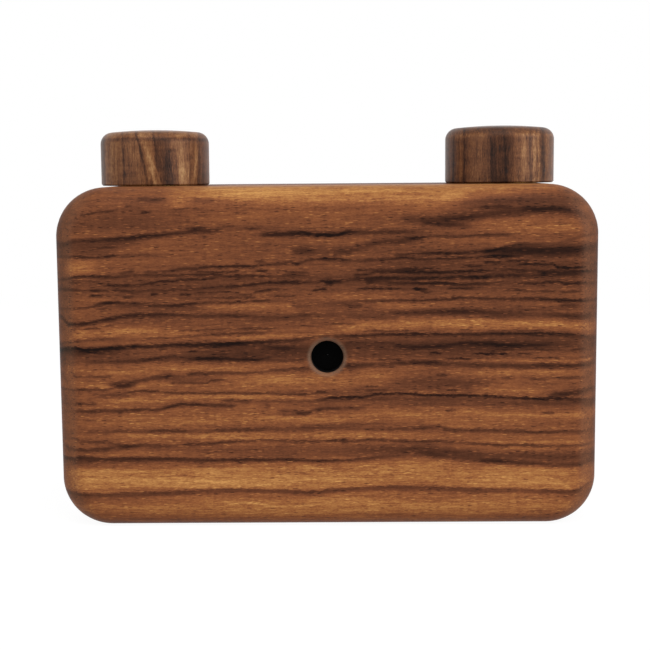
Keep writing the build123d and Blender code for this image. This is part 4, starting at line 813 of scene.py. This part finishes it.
# Magnets that hold the back: small discs with a bright nickel plating, glued into holes in the
# block and in the back.
dress(finished("nickel plate", srgb(208, 206, 199), 0.16, 1.0, (3, 3, 3)),
      "body_magnets", "cover_magnets")

# Dowels between the front board and the block: plain beech rod, turned along the grain and glued
# in both.
dress(finished("beech rod", srgb(208, 172, 126), 0.6, 0.0, (4, 0.3, 4), 0.2, 0.02),
      "locating_dowels")

# Thread in the tripod bush: a 1/4 inch thread cut at 20 turns to the inch, as a ridge that winds up
# the bore. The bush itself is the solid round it.
thread_tree = bpy.data.node_groups.new("bush thread", "GeometryNodeTree")
thread_tree.interface.new_socket("Geometry", in_out="OUTPUT", socket_type="NodeSocketGeometry")
thread_sizes = {"Pitch": 0.00127, "Turns": 5.8, "Mean Radius": 0.00295, "Ridge Width": 0.0011,
                "Ridge Depth": 0.0012, "Start Height": 0.0008}
for label in thread_sizes:
    thread_tree.interface.new_socket(label, in_out="INPUT", socket_type="NodeSocketFloat")
thread_tree.interface.new_socket("Material", in_out="INPUT", socket_type="NodeSocketMaterial")
given = thread_tree.nodes.new("NodeGroupInput").outputs
winding = add(thread_tree, "GeometryNodeCurveSpiral", Resolution=40, Rotations=given["Turns"],
              Start_Radius=given["Mean Radius"], End_Radius=given["Mean Radius"],
              Height=calc(thread_tree, "MULTIPLY", given["Pitch"], given["Turns"]))
upright = add(thread_tree, "GeometryNodeSetCurveNormal", Curve=winding.outputs["Curve"])
upright.mode = "Z_UP"
ridge = thread_tree.nodes.new("GeometryNodeCurvePrimitiveQuadrilateral")
ridge.mode = "KITE"
half_width = calc(thread_tree, "MULTIPLY", given["Ridge Width"], 0.5)
for label, size in (("Width", given["Ridge Depth"]), ("Bottom Height", half_width),
                    ("Top Height", half_width)):
    feed(thread_tree, ridge.inputs[label], size)
swept = add(thread_tree, "GeometryNodeCurveToMesh", Curve=upright.outputs["Curve"],
            Profile_Curve=ridge.outputs["Curve"], Fill_Caps=True)
raised = add(thread_tree, "GeometryNodeSetPosition", Geometry=swept.outputs["Mesh"],
             Offset=join(thread_tree, 0, 0, given["Start Height"]))
whole = add(thread_tree, "GeometryNodeRealizeInstances", Geometry=raised.outputs["Geometry"])
coloured = add(thread_tree, "GeometryNodeSetMaterial", Geometry=whole.outputs["Geometry"],
               Material=given["Material"])
add(thread_tree, "NodeGroupOutput", coloured.outputs["Geometry"])

thread = stand("tripod_thread", bpy.data.meshes.new("tripod_thread"))
grown = thread.modifiers.new("thread", "NODES")
grown.node_group = thread_tree
for item in thread_tree.interface.items_tree:
    if item.in_out == "INPUT":
        grown[item.identifier] = thread_sizes.get(item.name, bpy.data.materials["turned brass"])
evaluated = thread.evaluated_get(bpy.context.evaluated_depsgraph_get())
thread.data = bpy.data.meshes.new_from_object(evaluated)
thread.modifiers.remove(grown)
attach(thread, "camera_body")


# Floor: a plain white table under the camera. It keeps the camera's soft shadow close by, and
# runs out to pure white at the horizon.
def white_to_camera(tree, lit, seen):
    """Mixes a shader that lights the object with one that the camera and reflections see."""
    path = tree.nodes.new("ShaderNodeLightPath").outputs
    seen_by = calc(tree, "MAXIMUM", path["Is Camera Ray"], path["Is Glossy Ray"])
    seen_by = calc(tree, "MAXIMUM", seen_by, path["Is Transmission Ray"])
    return add(tree, "ShaderNodeMixShader", seen_by, lit, seen).outputs[0]


floor_half = 4.0
corners = [(-floor_half, -floor_half, 0), (floor_half, -floor_half, 0),
           (floor_half, floor_half, 0), (-floor_half, floor_half, 0)]
floor_mesh = bpy.data.meshes.new("floor")
floor_mesh.from_pydata(corners, [], [(0, 1, 2, 3)])
floor = stand("floor", floor_mesh)
white = bpy.data.materials.new("white table")
white.use_nodes = True
tree = white.node_tree
tree.nodes.remove(tree.nodes["Principled BSDF"])
lit = add(tree, "ShaderNodeBsdfDiffuse", Color=(0.8, 0.8, 0.8, 1))
shaded = add(tree, "ShaderNodeBsdfDiffuse", Color=(0.12, 0.12, 0.12, 1))
glow = add(tree, "ShaderNodeEmission", Strength=0.94)
near_white = add(tree, "ShaderNodeAddShader", shaded.outputs[0], glow.outputs[0])
far_white = tree.nodes.new("ShaderNodeEmission")
away = add(tree, "ShaderNodeVectorMath", tree.nodes.new("ShaderNodeTexCoord").outputs["Object"])
away.operation = "LENGTH"
table = add(tree, "ShaderNodeMixShader", fade(tree, away.outputs["Value"], 0.15, 0.5),
            near_white.outputs[0], far_white.outputs[0])
feed(tree, tree.nodes["Material Output"].inputs[0],
     white_to_camera(tree, lit.outputs[0], table.outputs[0]))
floor_mesh.materials.append(white)

# World: even light all round, at about a third of full white. The camera and reflections see
# white.
world = bpy.data.worlds.new("studio")
bpy.context.scene.world = world
world.use_nodes = True
tree = world.node_tree
even = tree.nodes["Background"]
even.inputs["Color"].default_value = (1, 1, 1, 1)
even.inputs["Strength"].default_value = 0.35
seen = add(tree, "ShaderNodeBackground", Color=(1, 1, 1, 1), Strength=1.0)
feed(tree, tree.nodes["World Output"].inputs[0],
     white_to_camera(tree, even.outputs[0], seen.outputs[0]))

# Lamps: soft boxes to the right, to the left and above, the right one the strongest. Each stands
# a metre from the middle of the object.
middle = Vector((0, 0, 0.035))
lamp_distance = 1.0


def softbox(name, azimuth, elevation, width, tall, power):
    """A rectangular lamp aimed at the camera; azimuth turns from the front towards +X."""
    lamp = bpy.data.lights.new(name, "AREA")
    lamp.shape = "RECTANGLE"
    lamp.size = width
    lamp.size_y = tall
    lamp.energy = power
    turn = math.radians(azimuth)
    rise = math.radians(elevation)
    towards = Vector((math.sin(turn) * math.cos(rise), -math.cos(turn) * math.cos(rise),
                      math.sin(rise)))
    aim = towards.to_track_quat("Z", "Y").to_matrix().to_4x4()
    stand(name, lamp).matrix_world = Matrix.Translation(middle + towards * lamp_distance) @ aim


softbox("right_box", 58, 12, 0.9, 0.9, 7.8)
softbox("left_box", -45, 12, 0.8, 0.9, 2.8)
softbox("top_box", 0, 60, 1.0, 0.8, 4.2)

# Camera: at the photograph's viewing angle, almost square on and a little above. It is turned by
# a yaw, a pitch and a slight roll.
eye = Vector((0.00305, -0.27641, 0.06973))
yaw, pitch, roll = -0.0135, 0.11698, -0.00813
ahead = Vector((math.sin(yaw) * math.cos(pitch), math.cos(yaw) * math.cos(pitch),
                -math.sin(pitch)))
level_right = Vector((math.cos(yaw), -math.sin(yaw), 0))
level_up = level_right.cross(ahead)
right = math.cos(roll) * level_right + math.sin(roll) * level_up
up = -math.sin(roll) * level_right + math.cos(roll) * level_up
camera_data = bpy.data.cameras.new("camera")
camera_data.sensor_width = 36.0
camera_data.lens = 73.7
camera_data.clip_start = 0.01
camera = stand("camera", camera_data)
camera.matrix_world = Matrix.Translation(eye) @ Matrix((right, up, -ahead)).transposed().to_4x4()
bpy.context.scene.camera = camera
bpy.context.scene.view_settings.view_transform = "Standard"
